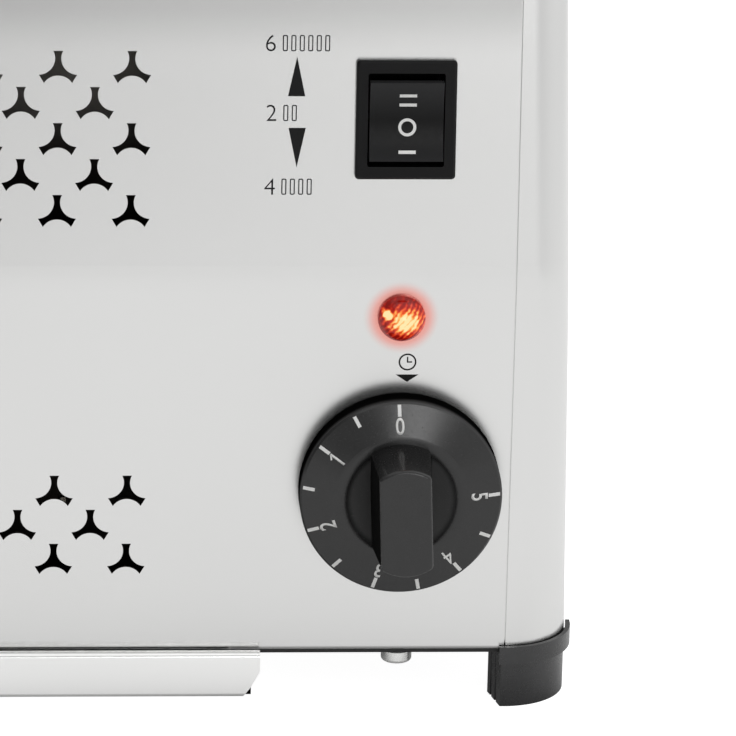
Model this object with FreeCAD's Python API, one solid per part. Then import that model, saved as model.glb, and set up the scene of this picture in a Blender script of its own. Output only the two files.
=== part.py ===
import FreeCAD, Part
import math
import os

V = FreeCAD.Vector

# Casing, in millimetres. X runs along the front, the front faces -Y, Z is up from the standing surface.
casing_depth = 208.0
casing_height = 225.8
standing_gap = 15.8
steel = 0.8
panel_bend_height = 117.8
panel_lean = 4.8
panel_bend_radius = 80.0
shoulder_radius = 28.0
shell_flange = 12.0
top_seam_land = 1.0
fold_radius = 1.3
compartment_length = 69.0

# End caps
cap_width = 17.2
cap_lean = 1.53
cap_round_top = 9.8
cap_round_margin = 0.6
cap_seam = 0.4
cap_tongue = 5.0
tongue_gap = 0.15
cap_bottom_rim = 6.0
cap_bottom_corner = 27.7
cap_opening_round = 3.0
cap_screw_y = 46.0
cap_screw_tab = 12.0

# Vents: punched three-armed holes in staggered rows
vent_arm_reach = 4.85
vent_arm_width = 2.5
vent_hub = 1.55
vent_pitch = 18.72
vent_columns = 13
upper_vents_below_top = 72.6
upper_vent_rows = 5
lower_vents_height = 50.1
lower_vent_rows = 3

# Bread slots and heated chamber
slot_count = 6
slot_pitch = 45.0
slot_width = 30.0
slot_rim_depth = 7.0
slot_corner = 4.0
slot_end_margin = 12.0
chamber_end_margin = 7.0
side_space = 26.0
shield_below_top = 11.0
wall_below_top = 3.0
shield_overhang = 6.0
foot_flange = 12.0
seat_gap = 0.3
slide_gap = 1.0

# Heating elements
mica_thickness = 1.0
mica_end_gap = 8.0
mica_bottom = 52.8
mica_below_top = 33.0
mica_tab_height = 12.0
mica_tab_inset = 8.0
mica_tab_reach = 5.0
winding_turns = 14
winding_margin = 4.0
ribbon_width = 1.8
ribbon_thickness = 0.3
bus_bar_width = 5.0
bus_bar_thickness = 0.8
bus_bar_gap = 1.0
bus_bar_rise = 0.5
bus_bar_overrun = 3.0
bus_bar_end = 8.0

# Bread guards and racks
guard_wire = 1.6
guard_weld = 0.1
guard_wires = 6
guard_spacing = 24.0
guard_bottom = 40.8
guard_below_top = 12.0
guard_cross_low = 8.0
guard_cross_high = 10.0
rack_bar_thickness = 2.0
rack_bar_height = 8.0
rack_rest_height = 120.8
rack_fingers = 5
rack_finger_spacing = 26.0
rack_finger_wire = 2.4
rack_finger_length = 21.0

# Lift
lift_travel = 70.0
beam_thickness = 1.5
beam_height = 12.0
beam_gap = 3.0
beam_overrun = 8.0
carriage_height = 20.0
carriage_offset = 16.0
rod_diameter = 6.0
rod_spacing = 80.0
rod_offset = 8.0
rod_end = 4.0
lug_reach = 9.0
bush_wall = 2.0
bush_proud = 1.0
running_gap = 0.05
bracket_below_top = 29.0
bracket_drop = 16.0
bracket_width = 110.0
lever_thickness = 3.0
lever_width = 12.0
lever_rise = 36.0
lever_crank = 38.0
lever_foot_rise = 2.0
lever_corner = 3.0
handle_length = 22.0
handle_width = 40.0
handle_height = 15.0
handle_gap = 5.0
handle_wall = 6.0
handle_round = 4.0

# Base, feet and screws
base_thickness = 1.0
base_inset = 1.2
crumb_opening_margin = 6.0
foot_screw_inset = 10.7
foot_side_extra = 3.1
foot_screw_cover = 5.0
foot_screw_grip = 5.0
foot_groove = 1.2
foot_edge_round = 1.0
foot_wrap = 1.2
foot_collar_wrap = 1.8
foot_collar_height = 4.8
foot_collar_proud = 1.6
foot_collar_rise = 1.3
collar_gap = 0.5
screw_head_diameter = 8.0
screw_head_height = 3.1
screw_head_round = 0.9
screw_shank = 4.0
screw_length = 8.0
screw_hole_gap = 0.2
screw_head_gap = 0.6
screw_slot = 4.0
base_screw_inset = 4.3
base_screw_shift = 1.3

# Crumb tray and its rails
tray_side_gap = 2.0
tray_depth = 6.8
tray_drop = 1.2
tray_flange = 5.0
tray_flange_setback = 4.0
lip_overhang = 7.3
lip_gap = 1.0
lip_depth = 3.5
lip_slant = 0.8
lip_rise = 1.0
lip_drop = 1.9
lip_end_height = 9.0
lip_end_taper = 2.2
lip_taper_drop = 4.0
lip_end_round = 1.5
lip_notch_width = 2.2
lip_notch_height = 2.9
hem_depth = 2.0
hem_return = 4.0
hem_lean = 0.4
rail_lip = 6.0
rail_front_setback = 6.0
rail_foot = 8.0

# Controls on the front panel
control_inset = 29.0
switch_below_top = 66.4
switch_width = 25.6
switch_height = 31.0
bezel_thickness = 2.0
bezel_bevel = 0.6
switch_body_width = 22.0
switch_body_height = 27.0
switch_body_depth = 20.0
switch_body_corner = 0.5
bezel_corner = 1.0
window_corner = 0.6
switch_back_wall = 5.0
window_width = 19.6
window_height = 24.3
rocker_width = 18.8
rocker_height = 20.4
rocker_pivot_depth = 4.5
rocker_proud = 2.4
rocker_hollow = 1.9
rocker_edge = 3.4
rocker_back_depth = 9.0
rocker_back_taper = 4.0
rocker_pin_diameter = 3.0
rocker_pin_end_gap = 0.2
tab_width = 4.8
tab_thickness = 0.8
tab_length = 8.0
tab_column_spacing = 10.0
tab_row_spacing = 8.5
lamp_below_bend = 10.4
lamp_diameter = 12.2
lamp_flange = 1.0
lamp_dome = 4.8
lamp_tube_wall = 1.2
lamp_stem = 4.0
lamp_body_diameter = 9.8
lamp_body_length = 22.0
lamp_hole_gap = 0.1
nut_thickness = 3.0
nut_wall = 1.6

# Timer and knob
timer_height = 61.1
timer_shift = 0.5
timer_width = 46.0
timer_depth = 28.0
timer_plate = 1.2
timer_plate_extra = 6.0
timer_corner = 4.0
timer_plate_corner = 2.0
timer_screw_spacing = 30.0
timer_screw_head = 2.0
timer_shaft_seat = 11.0
bell_diameter = 36.0
bell_depth = 9.0
bell_wall = 1.0
bell_round = 3.0
bell_post_depth = 8.5
shaft_diameter = 6.0
shaft_flat = 1.0
knob_diameter = 52.2
knob_rim = 7.0
knob_rim_edge = 0.5
knob_rim_wall = 2.5
knob_skin = 1.5
knob_hub_wall = 4.0
knob_gap = 1.0
knob_cone_height = 9.85
knob_dish_radius = 15.0
knob_dish_floor = 5.4
knob_brim_round = 6.0
knob_bore_mouth = 0.5
knob_height = 26.6
grip_width = 13.3
grip_length = 29.0
grip_draft = 1.3
grip_end_bulge = 2.2
grip_corner = 1.6
grip_edge = 0.8
knob_rest_turn = 2.5

# Supply entry and wiring
cord_hole = 8.0
cord_height = 42.8
gland_neck = 14.0
gland_flange = 3.0
gland_flange_depth = 4.0
gland_neck_length = 12.0
gland_round = 1.5
gland_nut_thickness = 4.0
block_width = 36.0
block_depth = 18.0
block_height = 16.0
block_setback = 34.0
block_ways = 3
block_pitch = 11.0
block_entry = 3.2
block_entry_height = 6.0
block_well = 4.5
wire_diameter = 2.4
wire_bend = 5.0

# Sizes that follow from the ones above
slot_places = [(i - (slot_count - 1) / 2) * slot_pitch for i in range(slot_count)]
element_places = [(i - slot_count / 2) * slot_pitch for i in range(slot_count + 1)]
wall_x = slot_count * slot_pitch / 2 + chamber_end_margin
half_shell = wall_x + compartment_length
half_depth = casing_depth / 2
shield_y = half_depth - side_space
slot_length = 2 * (shield_y - slot_end_margin)
lean = math.radians(panel_lean)
upper_panel_length = (casing_height - panel_bend_height) / math.cos(lean)
shoulder_y = half_depth - (casing_height - panel_bend_height) * math.tan(lean)
top_seam_y = shoulder_y - shoulder_radius * math.tan((math.pi / 2 - lean) / 2) - top_seam_land
cap_base_x = half_shell + cap_width
cap_round_foot = cap_width - cap_round_margin
base_bottom = standing_gap - base_thickness
panel_inner_y = steel - half_depth
shield_top = casing_height - shield_below_top
mica_length = 2 * (shield_y - mica_end_gap)
mica_top = casing_height - mica_below_top
mica_tab_lows = [mica_bottom + mica_tab_inset, mica_top - mica_tab_inset - mica_tab_height]
guard_top = casing_height - guard_below_top
guard_cross_offset = slot_width / 2 + guard_wire / 2
guard_cross_heights = [guard_bottom + guard_cross_low, guard_top - guard_cross_high]
beam_y = shield_y + steel + mica_tab_reach + beam_gap
carriage_x = -(wall_x + carriage_offset)
rod_x = carriage_x - rod_offset
bush_diameter = rod_diameter + 2 * bush_wall
plate_top = rack_rest_height + (carriage_height - beam_height) / 2
bracket_height = casing_height - bracket_below_top
lever_height = rack_rest_height + lever_rise
foot_side = cap_width + foot_side_extra
foot_screw_seat = base_bottom - foot_screw_cover
tray_rim = base_bottom - tray_drop
tray_floor = tray_rim - tray_depth
tray_half = wall_x - tray_side_gap
control_x = half_shell - control_inset
timer_x = control_x + timer_shift
switch_up = upper_panel_length - switch_below_top
lamp_z = panel_bend_height - lamp_below_bend
knob_back_y = -half_depth - knob_gap
screw_hole = screw_shank + 2 * screw_hole_gap
timer_front_y = panel_inner_y + timer_plate
block_y = half_depth - block_setback - block_depth / 2


# Outlines with rounded corners
def plane_point(plane, a, b, level):
    return {"xy": V(a, b, level), "xz": V(a, level, b), "yz": V(level, a, b)}[plane]


def plane_normal(plane):
    return {"xy": V(0, 0, 1), "xz": V(0, 1, 0), "yz": V(1, 0, 0)}[plane]


def outline_edges(corners, plane, level):
    """Edges of a closed outline; each corner is (a, b) or (a, b, radius)."""
    points = [plane_point(plane, c[0], c[1], level) for c in corners]
    radii = [c[2] if len(c) > 2 else 0 for c in corners]
    starts, ends, edges = [], [], []
    for i, point in enumerate(points):
        back = (points[i - 1] - point).normalize()
        forth = (points[(i + 1) % len(points)] - point).normalize()
        half = math.acos(max(-1.0, min(1.0, back.dot(forth)))) / 2
        if radii[i] <= 0:
            starts.append(point)
            ends.append(point)
            continue
        reach = radii[i] / math.tan(half)
        start = point + back * reach
        end = point + forth * reach
        inward = (back + forth).normalize()
        middle = point + inward * (radii[i] / math.sin(half) - radii[i])
        edges.append((i, Part.Arc(start, middle, end).toShape()))
        starts.append(start)
        ends.append(end)
    arcs = dict(edges)
    ordered = []
    for i in range(len(points)):
        if i in arcs:
            ordered.append(arcs[i])
        nxt = (i + 1) % len(points)
        if (ends[i] - starts[nxt]).Length > 1e-6:
            ordered.append(Part.makeLine(ends[i], starts[nxt]))
    return ordered


def prism(corners, plane, low, high):
    face = Part.Face(Part.Wire(outline_edges(corners, plane, low)))
    return face.extrude(plane_normal(plane) * (high - low))


def shifted_path(path, distance):
    """An open path moved to its left by distance, with its bend radii made to match."""
    steps = []
    for first, second in zip(path, path[1:]):
        length = math.hypot(second[0] - first[0], second[1] - first[1])
        steps.append(((second[0] - first[0]) / length, (second[1] - first[1]) / length))
    moved = []
    for i, corner in enumerate(path):
        before = steps[max(i - 1, 0)]
        after = steps[min(i, len(steps) - 1)]
        n1 = (-before[1], before[0])
        n2 = (-after[1], after[0])
        scale = distance / (1 + n1[0] * n2[0] + n1[1] * n2[1])
        turn = before[0] * after[1] - before[1] * after[0]
        radius = corner[2] if len(corner) > 2 else 0
        if radius and turn * distance > 0:
            radius = max(radius - abs(distance), 0)
        elif radius:
            radius = radius + abs(distance)
        moved.append((corner[0] + (n1[0] + n2[0]) * scale, corner[1] + (n1[1] + n2[1]) * scale, radius))
    return moved


def folded(path, thickness, plane, low, high):
    """Sheet folded along an open path; a positive thickness lies to the path's left."""
    return prism(path + shifted_path(path, thickness)[::-1], plane, low, high)


def box(x0, x1, y0, y1, z0, z1):
    return Part.makeBox(x1 - x0, y1 - y0, z1 - z0, V(x0, y0, z0))


def rod(start, end, diameter):
    axis = end - start
    return Part.makeCylinder(diameter / 2, axis.Length, start, axis)


def along_y(x, z, start, end, diameter):
    """A cylinder that runs from front to back."""
    return rod(V(x, start, z), V(x, end, z), diameter)


def rounded(width, height, radius, centre=(0, 0)):
    a, b = centre
    return [
        (a - width / 2, b - height / 2, radius),
        (a + width / 2, b - height / 2, radius),
        (a + width / 2, b + height / 2, radius),
        (a - width / 2, b + height / 2, radius),
    ]


def moved(shape, x, y, z):
    copy = shape.copy()
    copy.translate(V(x, y, z))
    return copy


def mirrored(shape, x=False, y=False):
    copy = shape
    if x:
        copy = copy.mirror(V(0, 0, 0), V(1, 0, 0))
    if y:
        copy = copy.mirror(V(0, 0, 0), V(0, 1, 0))
    return copy


def joined(shapes):
    return shapes[0].fuse(shapes[1:]).removeSplitter() if len(shapes) > 1 else shapes[0]


def on_panel(shape, x, up):
    """Places a shape made at the origin, facing -Y, on the front panel; up runs along the sheet."""
    copy = shape.copy()
    copy.translate(V(0, 0, up))
    tilt = -panel_lean if up > 0 else 0
    turn = FreeCAD.Rotation(V(1, 0, 0), tilt)
    copy.Placement = FreeCAD.Placement(V(x, -half_depth, panel_bend_height), turn).multiply(copy.Placement)
    return copy


# Casing: a front and a back panel folded over at the top, and the slotted sheet welded between them
def casing_path(flange):
    front = [
        (flange - half_depth, standing_gap),
        (-half_depth, standing_gap, fold_radius),
        (-half_depth, panel_bend_height, panel_bend_radius),
        (-shoulder_y, casing_height, shoulder_radius),
    ]
    back = [(-corner[0],) + tuple(corner[1:]) for corner in front[::-1]]
    return front + back


def vent():
    """One three-armed hole through the panel: flat arm ends joined by hollow arcs."""
    def at(radius, angle, across=0.0):
        a = math.radians(angle)
        return V(radius * math.cos(a) - across * math.sin(a), 0, radius * math.sin(a) + across * math.cos(a))

    edges = []
    for angle in (90, 210, 330):
        right = at(vent_arm_reach, angle, -vent_arm_width / 2)
        left = at(vent_arm_reach, angle, vent_arm_width / 2)
        edges.append(Part.makeLine(right, left))
        following = at(vent_arm_reach, angle + 120, -vent_arm_width / 2)
        edges.append(Part.Arc(left, at(vent_hub, angle + 60), following).toShape())
    hole = Part.Face(Part.Wire(edges)).extrude(V(0, 4 * steel, 0))
    return moved(hole, 0, -2 * steel, 0)


def vent_field(middle_up, rows):
    """Staggered rows, every second one a hole shorter, about a height measured up the panel from its bend."""
    hole = vent()
    holes = []
    for row in range(rows):
        from_middle = row - (rows - 1) / 2
        columns = vent_columns - row % 2
        for column in range(columns):
            x = (column - (columns - 1) / 2) * vent_pitch
            holes.append(on_panel(hole, x, middle_up + from_middle * vent_pitch / 2))
    return holes


def bread_slot(x, margin, low):
    """The upright hole, or with a margin the down-turned rim, of one bread slot."""
    plan = rounded(slot_width + 2 * margin, slot_length + 2 * margin, slot_corner + margin, (x, 0))
    return prism(plan, "xy", low, casing_height if margin else casing_height + 1)


def panel_hole(diameter):
    return rod(V(0, -2 * steel, 0), V(0, 3 * steel, 0), diameter)


def casing_blank(low_y, high_y, low_z):
    """The casing's sheet and slot rims between two seams, before any hole is made."""
    sheet = folded(casing_path(shell_flange), -steel, "yz", -half_shell, half_shell)
    rims = [bread_slot(x, steel, casing_height - slot_rim_depth) for x in slot_places]
    zone = box(-half_shell, half_shell, low_y, high_y, low_z, casing_height)
    slots = [bread_slot(x, 0, shield_top) for x in slot_places]
    return joined([sheet] + rims).common(zone).cut(slots)


def control_holes():
    """The switch's window and the holes for the lamp, the timer's shaft and its screws."""
    window = rounded(switch_body_width + seat_gap, switch_body_height + seat_gap, switch_body_corner)
    holes = [
        on_panel(prism(window, "xz", -2 * steel, 3 * steel), control_x, switch_up),
        on_panel(panel_hole(lamp_body_diameter + 2 * lamp_hole_gap), control_x, -lamp_below_bend),
        on_panel(panel_hole(shaft_diameter + 2 * slide_gap), timer_x, timer_height - panel_bend_height),
    ]
    for z in timer_screw_heights():
        holes.append(on_panel(panel_hole(screw_hole), timer_x, z - panel_bend_height))
    return holes


def panel_vents():
    upper = vent_field(upper_panel_length - upper_vents_below_top, upper_vent_rows)
    return upper + vent_field(lower_vents_height - panel_bend_height, lower_vent_rows)


def front_panel():
    blank = casing_blank(-casing_depth, -top_seam_y, 0)
    return blank.cut(Part.makeCompound(panel_vents() + control_holes() + upright_holes(base_screw_places())))


def rear_panel():
    blank = casing_blank(top_seam_y, casing_depth, 0)
    vents = [mirrored(v, y=True) for v in panel_vents()]
    entry = along_y(control_x, cord_height, half_depth - 3, half_depth + 3, gland_neck + screw_hole_gap)
    return blank.cut(Part.makeCompound(vents + [entry] + upright_holes(base_screw_places())))


def top_panel():
    return casing_blank(-top_seam_y, top_seam_y, shield_top)


# End caps: a dished pressing with rounded edges and a tongue under the shell
def end_plane_x(height):
    return cap_base_x - (height - standing_gap) * math.tan(math.radians(cap_lean))


def cap_blank(inset):
    """Front half of the cap's outer form, mirrored and joined across the middle."""
    path = shifted_path(casing_path(shell_flange)[1:4] + [(0, casing_height)], -inset)
    start = (path[0][0], standing_gap + inset, 0)
    corners = [(0, standing_gap + inset), start, path[1], path[2], (0, casing_height - inset)]
    half = prism(corners, "yz", half_shell + cap_seam - inset, cap_base_x + 5)
    away = inset / math.cos(math.radians(cap_lean))
    wedge = prism(
        [
            (end_plane_x(0) - away, 0),
            (end_plane_x(casing_height + 10) - away, casing_height + 10),
            (cap_base_x + 20, casing_height + 10),
            (cap_base_x + 20, 0),
        ],
        "xz", -casing_depth, casing_depth)
    half = half.cut(wedge)
    rim = [e for e in half.Edges if is_cap_rim(e, away)]
    half = half.makeFillet(cap_round_foot - inset, cap_round_top - inset, rim[:1])
    return joined([half, mirrored(half, y=True)])


def is_cap_rim(edge, away):
    """The long front edge of the slanted end face: on that plane, off the bottom and off the middle."""
    for vertex in edge.Vertexes:
        if abs(vertex.X - (end_plane_x(vertex.Z) - away)) > 0.01:
            return False
    middle = edge.valueAt((edge.FirstParameter + edge.LastParameter) / 2)
    return middle.y < -1 and edge.Length > 20 and abs(edge.Vertexes[0].Z - edge.Vertexes[-1].Z) > 20


def casing_ring(near, far, x0, x1, foot):
    """A band that follows the casing's outline between two depths under its surface."""
    path = casing_path(shell_flange)[1:-1]
    path[0] = (path[0][0], foot, 0)
    path[-1] = (path[-1][0], foot, 0)
    outer = shifted_path(path, -near) if near else path
    inner = shifted_path(path, -far)
    return prism(outer + inner[::-1], "yz", x0, x1)


def right_end_cap():
    tongue_near = steel + tongue_gap
    tongue_far = tongue_near + steel
    step_x = half_shell + cap_seam
    low = standing_gap + steel + seat_gap
    skin = cap_blank(0).cut(cap_blank(steel))
    tongue = casing_ring(tongue_near, tongue_far, half_shell - cap_tongue, step_x + steel, low)
    step = casing_ring(0, tongue_far, step_x, step_x + steel, low)
    opening_y = half_depth - cap_bottom_corner
    opening = [
        (step_x - 1, -opening_y),
        (cap_base_x - cap_bottom_rim, -opening_y, cap_opening_round),
        (cap_base_x - cap_bottom_rim, opening_y, cap_opening_round),
        (step_x - 1, opening_y),
    ]
    skin = skin.cut(prism(opening, "xy", 0, standing_gap + 2 * steel))
    half_tab = cap_screw_tab / 2
    far_x = cap_base_x - cap_bottom_rim + 1
    tabs = [
        box(step_x, far_x, y - half_tab, y + half_tab, standing_gap, standing_gap + steel)
        for y in (-cap_screw_y, cap_screw_y)
    ]
    cap = joined([skin, step, tongue] + tabs)
    return cap.cut(upright_holes(cap_screw_places() + foot_screw_places()))


def left_end_cap(right_cap):
    lever_top = lever_height + lever_width / 2 + slide_gap
    lever_low = lever_height - lever_width / 2 - lift_travel - slide_gap
    half_slot = lever_thickness / 2 + slide_gap
    slot = box(-cap_base_x - 2, -half_shell - 4, -half_slot, half_slot, lever_low, lever_top)
    return mirrored(right_cap, x=True).cut(slot)


# Base plate, feet and screws
def base_screw_places():
    y = half_depth - base_screw_inset
    x = control_x + base_screw_shift
    return [(sx * x, sy * y) for sx in (-1, 1) for sy in (-1, 1)]


def cap_screw_places():
    x = half_shell + cap_width / 2
    return [(sx * x, sy * cap_screw_y) for sx in (-1, 1) for sy in (-1, 1)]


def foot_screw_places():
    x = cap_base_x - foot_screw_inset
    y = half_depth - foot_screw_inset
    return [(sx * x, sy * y) for sx in (-1, 1) for sy in (-1, 1)]


def upright_holes(places):
    """Screw clearance holes up through everything just above the base plate's level."""
    return [rod(V(x, y, 0), V(x, y, standing_gap + 3), screw_hole) for x, y in places]


def base_plate():
    length = 2 * (cap_base_x - base_inset)
    outline = rounded(length, casing_depth - 2 * base_inset, cap_round_foot - base_inset)
    opening_x = wall_x - crumb_opening_margin
    opening_y = shield_y - crumb_opening_margin
    opening = prism(rounded(2 * opening_x, 2 * opening_y, slot_corner), "xy", 0, standing_gap + 1)
    places = base_screw_places() + cap_screw_places() + foot_screw_places()
    return prism(outline, "xy", base_bottom, standing_gap).cut([opening] + upright_holes(places))


def pan_head_screw(x, y, seat, length):
    """A cross-recessed pan-head screw driven upwards, its head under the seat."""
    under = seat - screw_head_height
    head = Part.makeCylinder(screw_head_diameter / 2, screw_head_height, V(x, y, under))
    head = head.makeFillet(screw_head_round, [e for e in head.Edges if e.BoundBox.ZMax < under + 0.01])
    half = screw_slot / 2
    width = screw_slot / 8
    cross = [
        box(x - half, x + half, y - width, y + width, under - 1, under + screw_head_height / 2),
        box(x - width, x + width, y - half, y + half, under - 1, under + screw_head_height / 2),
    ]
    shank = Part.makeCylinder(screw_shank / 2, length, V(x, y, seat))
    return joined([head, shank]).cut(cross)


def casing_screws():
    places = base_screw_places() + cap_screw_places()
    return Part.makeCompound([pan_head_screw(p[0], p[1], base_bottom, screw_length) for p in places])


def foot_screws():
    length = foot_screw_cover + base_thickness + foot_screw_grip
    return Part.makeCompound([pan_head_screw(x, y, foot_screw_seat, length) for x, y in foot_screw_places()])


def corner_plan(grow, reach):
    """The casing's front right corner seen from above, grown outwards, as far as reach along each side."""
    return [
        (cap_base_x - reach, -half_depth - grow),
        (cap_base_x + grow, -half_depth - grow, cap_round_foot + grow),
        (cap_base_x + grow, -half_depth + reach),
    ]


def foot():
    """Front right corner foot: a moulded block with a collar hooked round the cap's corner."""
    reach = cap_round_foot + foot_wrap
    collar_reach = cap_round_foot + foot_collar_wrap
    x, y = cap_base_x - foot_screw_inset, foot_screw_inset - half_depth
    block_inside = [(x, foot_side - half_depth, foot_edge_round), (cap_base_x - foot_side, y, foot_edge_round)]
    block = prism(corner_plan(0, reach) + block_inside, "xy", 0, base_bottom)
    collar_top = standing_gap + foot_collar_rise
    collar_inside = [(cap_base_x - 2, collar_reach - half_depth), (cap_base_x - collar_reach, 2 - half_depth)]
    collar = prism(corner_plan(foot_collar_proud, collar_reach) + collar_inside, "xy",
                   collar_top - foot_collar_height, collar_top)
    room = collar_reach + 2
    cap_room = corner_plan(collar_gap, room) + [(cap_base_x - room, room - half_depth)]
    tools = [
        prism(cap_room, "xy", base_bottom, collar_top + 1),
        Part.makeCylinder(screw_head_diameter / 2 + screw_head_gap, foot_screw_seat, V(x, y, 0)),
        Part.makeCylinder(screw_hole / 2, base_bottom + 2, V(x, y, 0)),
    ]
    for share in (0.35, 0.7):
        along = reach + share * (foot_side - reach)
        across = share * foot_screw_inset
        for u, v in ((along, across), (across, along)):
            place = V(cap_base_x - u, v - half_depth, -0.5)
            tools.append(Part.makeCylinder(foot_groove / 2, base_bottom + 1, place))
    return joined([block, collar]).cut(tools)


# Crumb tray and its rails
def lip_end_cuts(side, lip_y):
    """Tapered end of the lip, and the corner clipped off its front sheet over the open hem, on one side."""
    end = side * (tray_half + lip_overhang)
    beyond = end + side * lip_overhang
    taper_top = standing_gap + lip_rise - (lip_end_height - lip_taper_drop)
    waist = end - side * lip_end_taper
    taper = prism(
        [
            (end, taper_top),
            (waist, taper_top - lip_taper_drop, lip_end_round),
            (waist, 0),
            (beyond, 0),
            (beyond, taper_top),
        ],
        "xz", lip_y - 2 * lip_depth, lip_y + 1)
    low = tray_floor - lip_drop
    front_y = lip_y - lip_depth
    clipped = prism(
        [
            (waist - side * lip_notch_width, low - 1),
            (waist - side * lip_notch_width, low),
            (waist, low + lip_notch_height),
            (beyond, low + lip_notch_height),
            (beyond, low - 1),
        ],
        "xz", front_y - lip_slant - 1, front_y + steel + 0.1)
    return [taper, clipped]


def crumb_tray():
    lip_y = -half_depth - lip_gap
    back_y = shield_y
    pan = box(-tray_half, tray_half, lip_y - steel, back_y, tray_floor, tray_rim)
    inside_half = tray_half - steel
    inside = box(-inside_half, inside_half, lip_y, back_y - steel, tray_floor + steel, tray_rim + 1)
    flange_low = tray_rim - steel
    side_y = tray_flange_setback - half_depth
    flanges = [
        box(-tray_half - tray_flange, -tray_half, side_y, back_y, flange_low, tray_rim),
        box(tray_half, tray_half + tray_flange, side_y, back_y, flange_low, tray_rim),
        box(-tray_half, tray_half, back_y, back_y + tray_flange, flange_low, tray_rim),
    ]
    front_y = lip_y - lip_depth
    low = tray_floor - lip_drop
    lip = folded(
        [
            (lip_y, tray_floor),
            (lip_y, standing_gap + lip_rise, fold_radius),
            (front_y, standing_gap + lip_rise, fold_radius),
            (front_y - lip_slant, low, 1.0),
            (front_y - lip_slant + hem_depth, low, 1.0),
            (front_y - lip_slant + hem_depth + hem_lean, low + hem_return),
        ],
        steel, "yz", -tray_half - lip_overhang, tray_half + lip_overhang)
    return joined([pan.cut(inside), lip] + flanges).cut(lip_end_cuts(-1, lip_y) + lip_end_cuts(1, lip_y))


def tray_rail():
    """Right-hand rail: a Z-section under the base plate that carries the tray's flange."""
    inner_x = tray_half + slide_gap
    web_x = inner_x + rail_lip
    lip_z = tray_rim - steel - seat_gap
    path = [
        (inner_x, lip_z),
        (web_x, lip_z, steel),
        (web_x, base_bottom, steel),
        (web_x + rail_foot, base_bottom),
    ]
    return folded(path, -steel, "xz", rail_front_setback - half_depth, shield_y + tray_flange)


# Heated chamber: walls, shields, elements and guards
def chamber_wall():
    """Right-hand chamber wall, standing on a foot turned outwards."""
    path = [
        (wall_x + foot_flange, standing_gap),
        (wall_x, standing_gap, fold_radius),
        (wall_x, casing_height - wall_below_top),
    ]
    return folded(path, -steel, "xz", seat_gap - shield_y, shield_y - seat_gap)


def heat_shield():
    """Front shield: stands on the base plate, slotted for element tabs, guard wires and rack bars."""
    half_x = wall_x + shield_overhang
    path = [
        (-shield_y - foot_flange, standing_gap),
        (-shield_y, standing_gap, fold_radius),
        (-shield_y, shield_top),
    ]
    shield = folded(path, steel, "yz", -half_x, half_x)
    near, far = -shield_y - 2, -shield_y + 2
    bar_low = rack_rest_height - rack_bar_height - lift_travel - slide_gap
    half_bar = rack_bar_thickness / 2 + slide_gap
    half_tab = mica_thickness / 2 + seat_gap
    tools = []
    for x in slot_places:
        tools.append(box(x - half_bar, x + half_bar, near, far, bar_low, rack_rest_height + slide_gap))
        for wire_x in (x - guard_cross_offset, x + guard_cross_offset):
            for z in guard_cross_heights:
                tools.append(rod(V(wire_x, near, z), V(wire_x, far, z), guard_wire + 2 * seat_gap))
    for x in element_places:
        for low in mica_tab_lows:
            high = low + mica_tab_height
            tools.append(box(x - half_tab, x + half_tab, near, far, low - seat_gap, high + seat_gap))
    return shield.cut(Part.makeCompound(tools))


def mica_board():
    """One mica former at the middle, with two tabs at each end that pass through the shields."""
    half_y = mica_length / 2
    half_x = mica_thickness / 2
    board = box(-half_x, half_x, -half_y, half_y, mica_bottom, mica_top)
    tab_y = shield_y + mica_tab_reach
    tabs = [box(-half_x, half_x, -tab_y, tab_y, z, z + mica_tab_height) for z in mica_tab_lows]
    return joined([board] + tabs)


def winding():
    """Resistance ribbon wound round one former: level runs on one face, sloping runs back on the other."""
    x = mica_thickness / 2
    y = mica_length / 2
    t = ribbon_thickness
    lowest = mica_tab_lows[0] + mica_tab_height + winding_margin
    highest = mica_tab_lows[1] - winding_margin - ribbon_width
    rise = (highest - lowest) / winding_turns
    parts = []
    for turn in range(winding_turns + 1):
        z = lowest + turn * rise
        parts.append(box(x, x + t, -y - t, y + t, z, z + ribbon_width))
        if turn == winding_turns:
            break
        up = z + rise
        parts.append(box(-x - t, x + t, y, y + t, z, z + ribbon_width))
        parts.append(box(-x - t, x + t, -y - t, -y, up, up + ribbon_width))
        slope = [(y + t, z), (y + t, z + ribbon_width), (-y - t, up + ribbon_width), (-y - t, up)]
        parts.append(prism(slope, "yz", -x - t, -x))
    return joined(parts)


def bread_guard():
    """The pair of wire grids either side of one slot's bread, hung in the shields by their long wires."""
    wire_end = shield_y + steel + guard_wire
    upright_x = guard_cross_offset - guard_wire + guard_weld
    grids = []
    for side in (-1, 1):
        wires = []
        for i in range(guard_wires):
            y = (i - (guard_wires - 1) / 2) * guard_spacing
            x = side * upright_x
            wires.append(rod(V(x, y, guard_bottom), V(x, y, guard_top), guard_wire))
        for z in guard_cross_heights:
            x = side * guard_cross_offset
            wires.append(rod(V(x, -wire_end, z), V(x, wire_end, z), guard_wire))
        grids.append(joined(wires))
    return Part.makeCompound(grids)


def bus_bar_low(number):
    """Underside of a bus bar; the pair sits one above the other across the upper tabs."""
    return mica_tab_lows[1] + bus_bar_rise + number * (bus_bar_width + bus_bar_gap)


def bus_bars():
    y = -shield_y - mica_tab_reach
    first_x = element_places[0] - bus_bar_overrun
    bars = []
    for number in range(2):
        low = bus_bar_low(number)
        bars.append(box(first_x, wall_x + bus_bar_end, y - bus_bar_thickness, y, low, low + bus_bar_width))
    return Part.makeCompound(bars)


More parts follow.
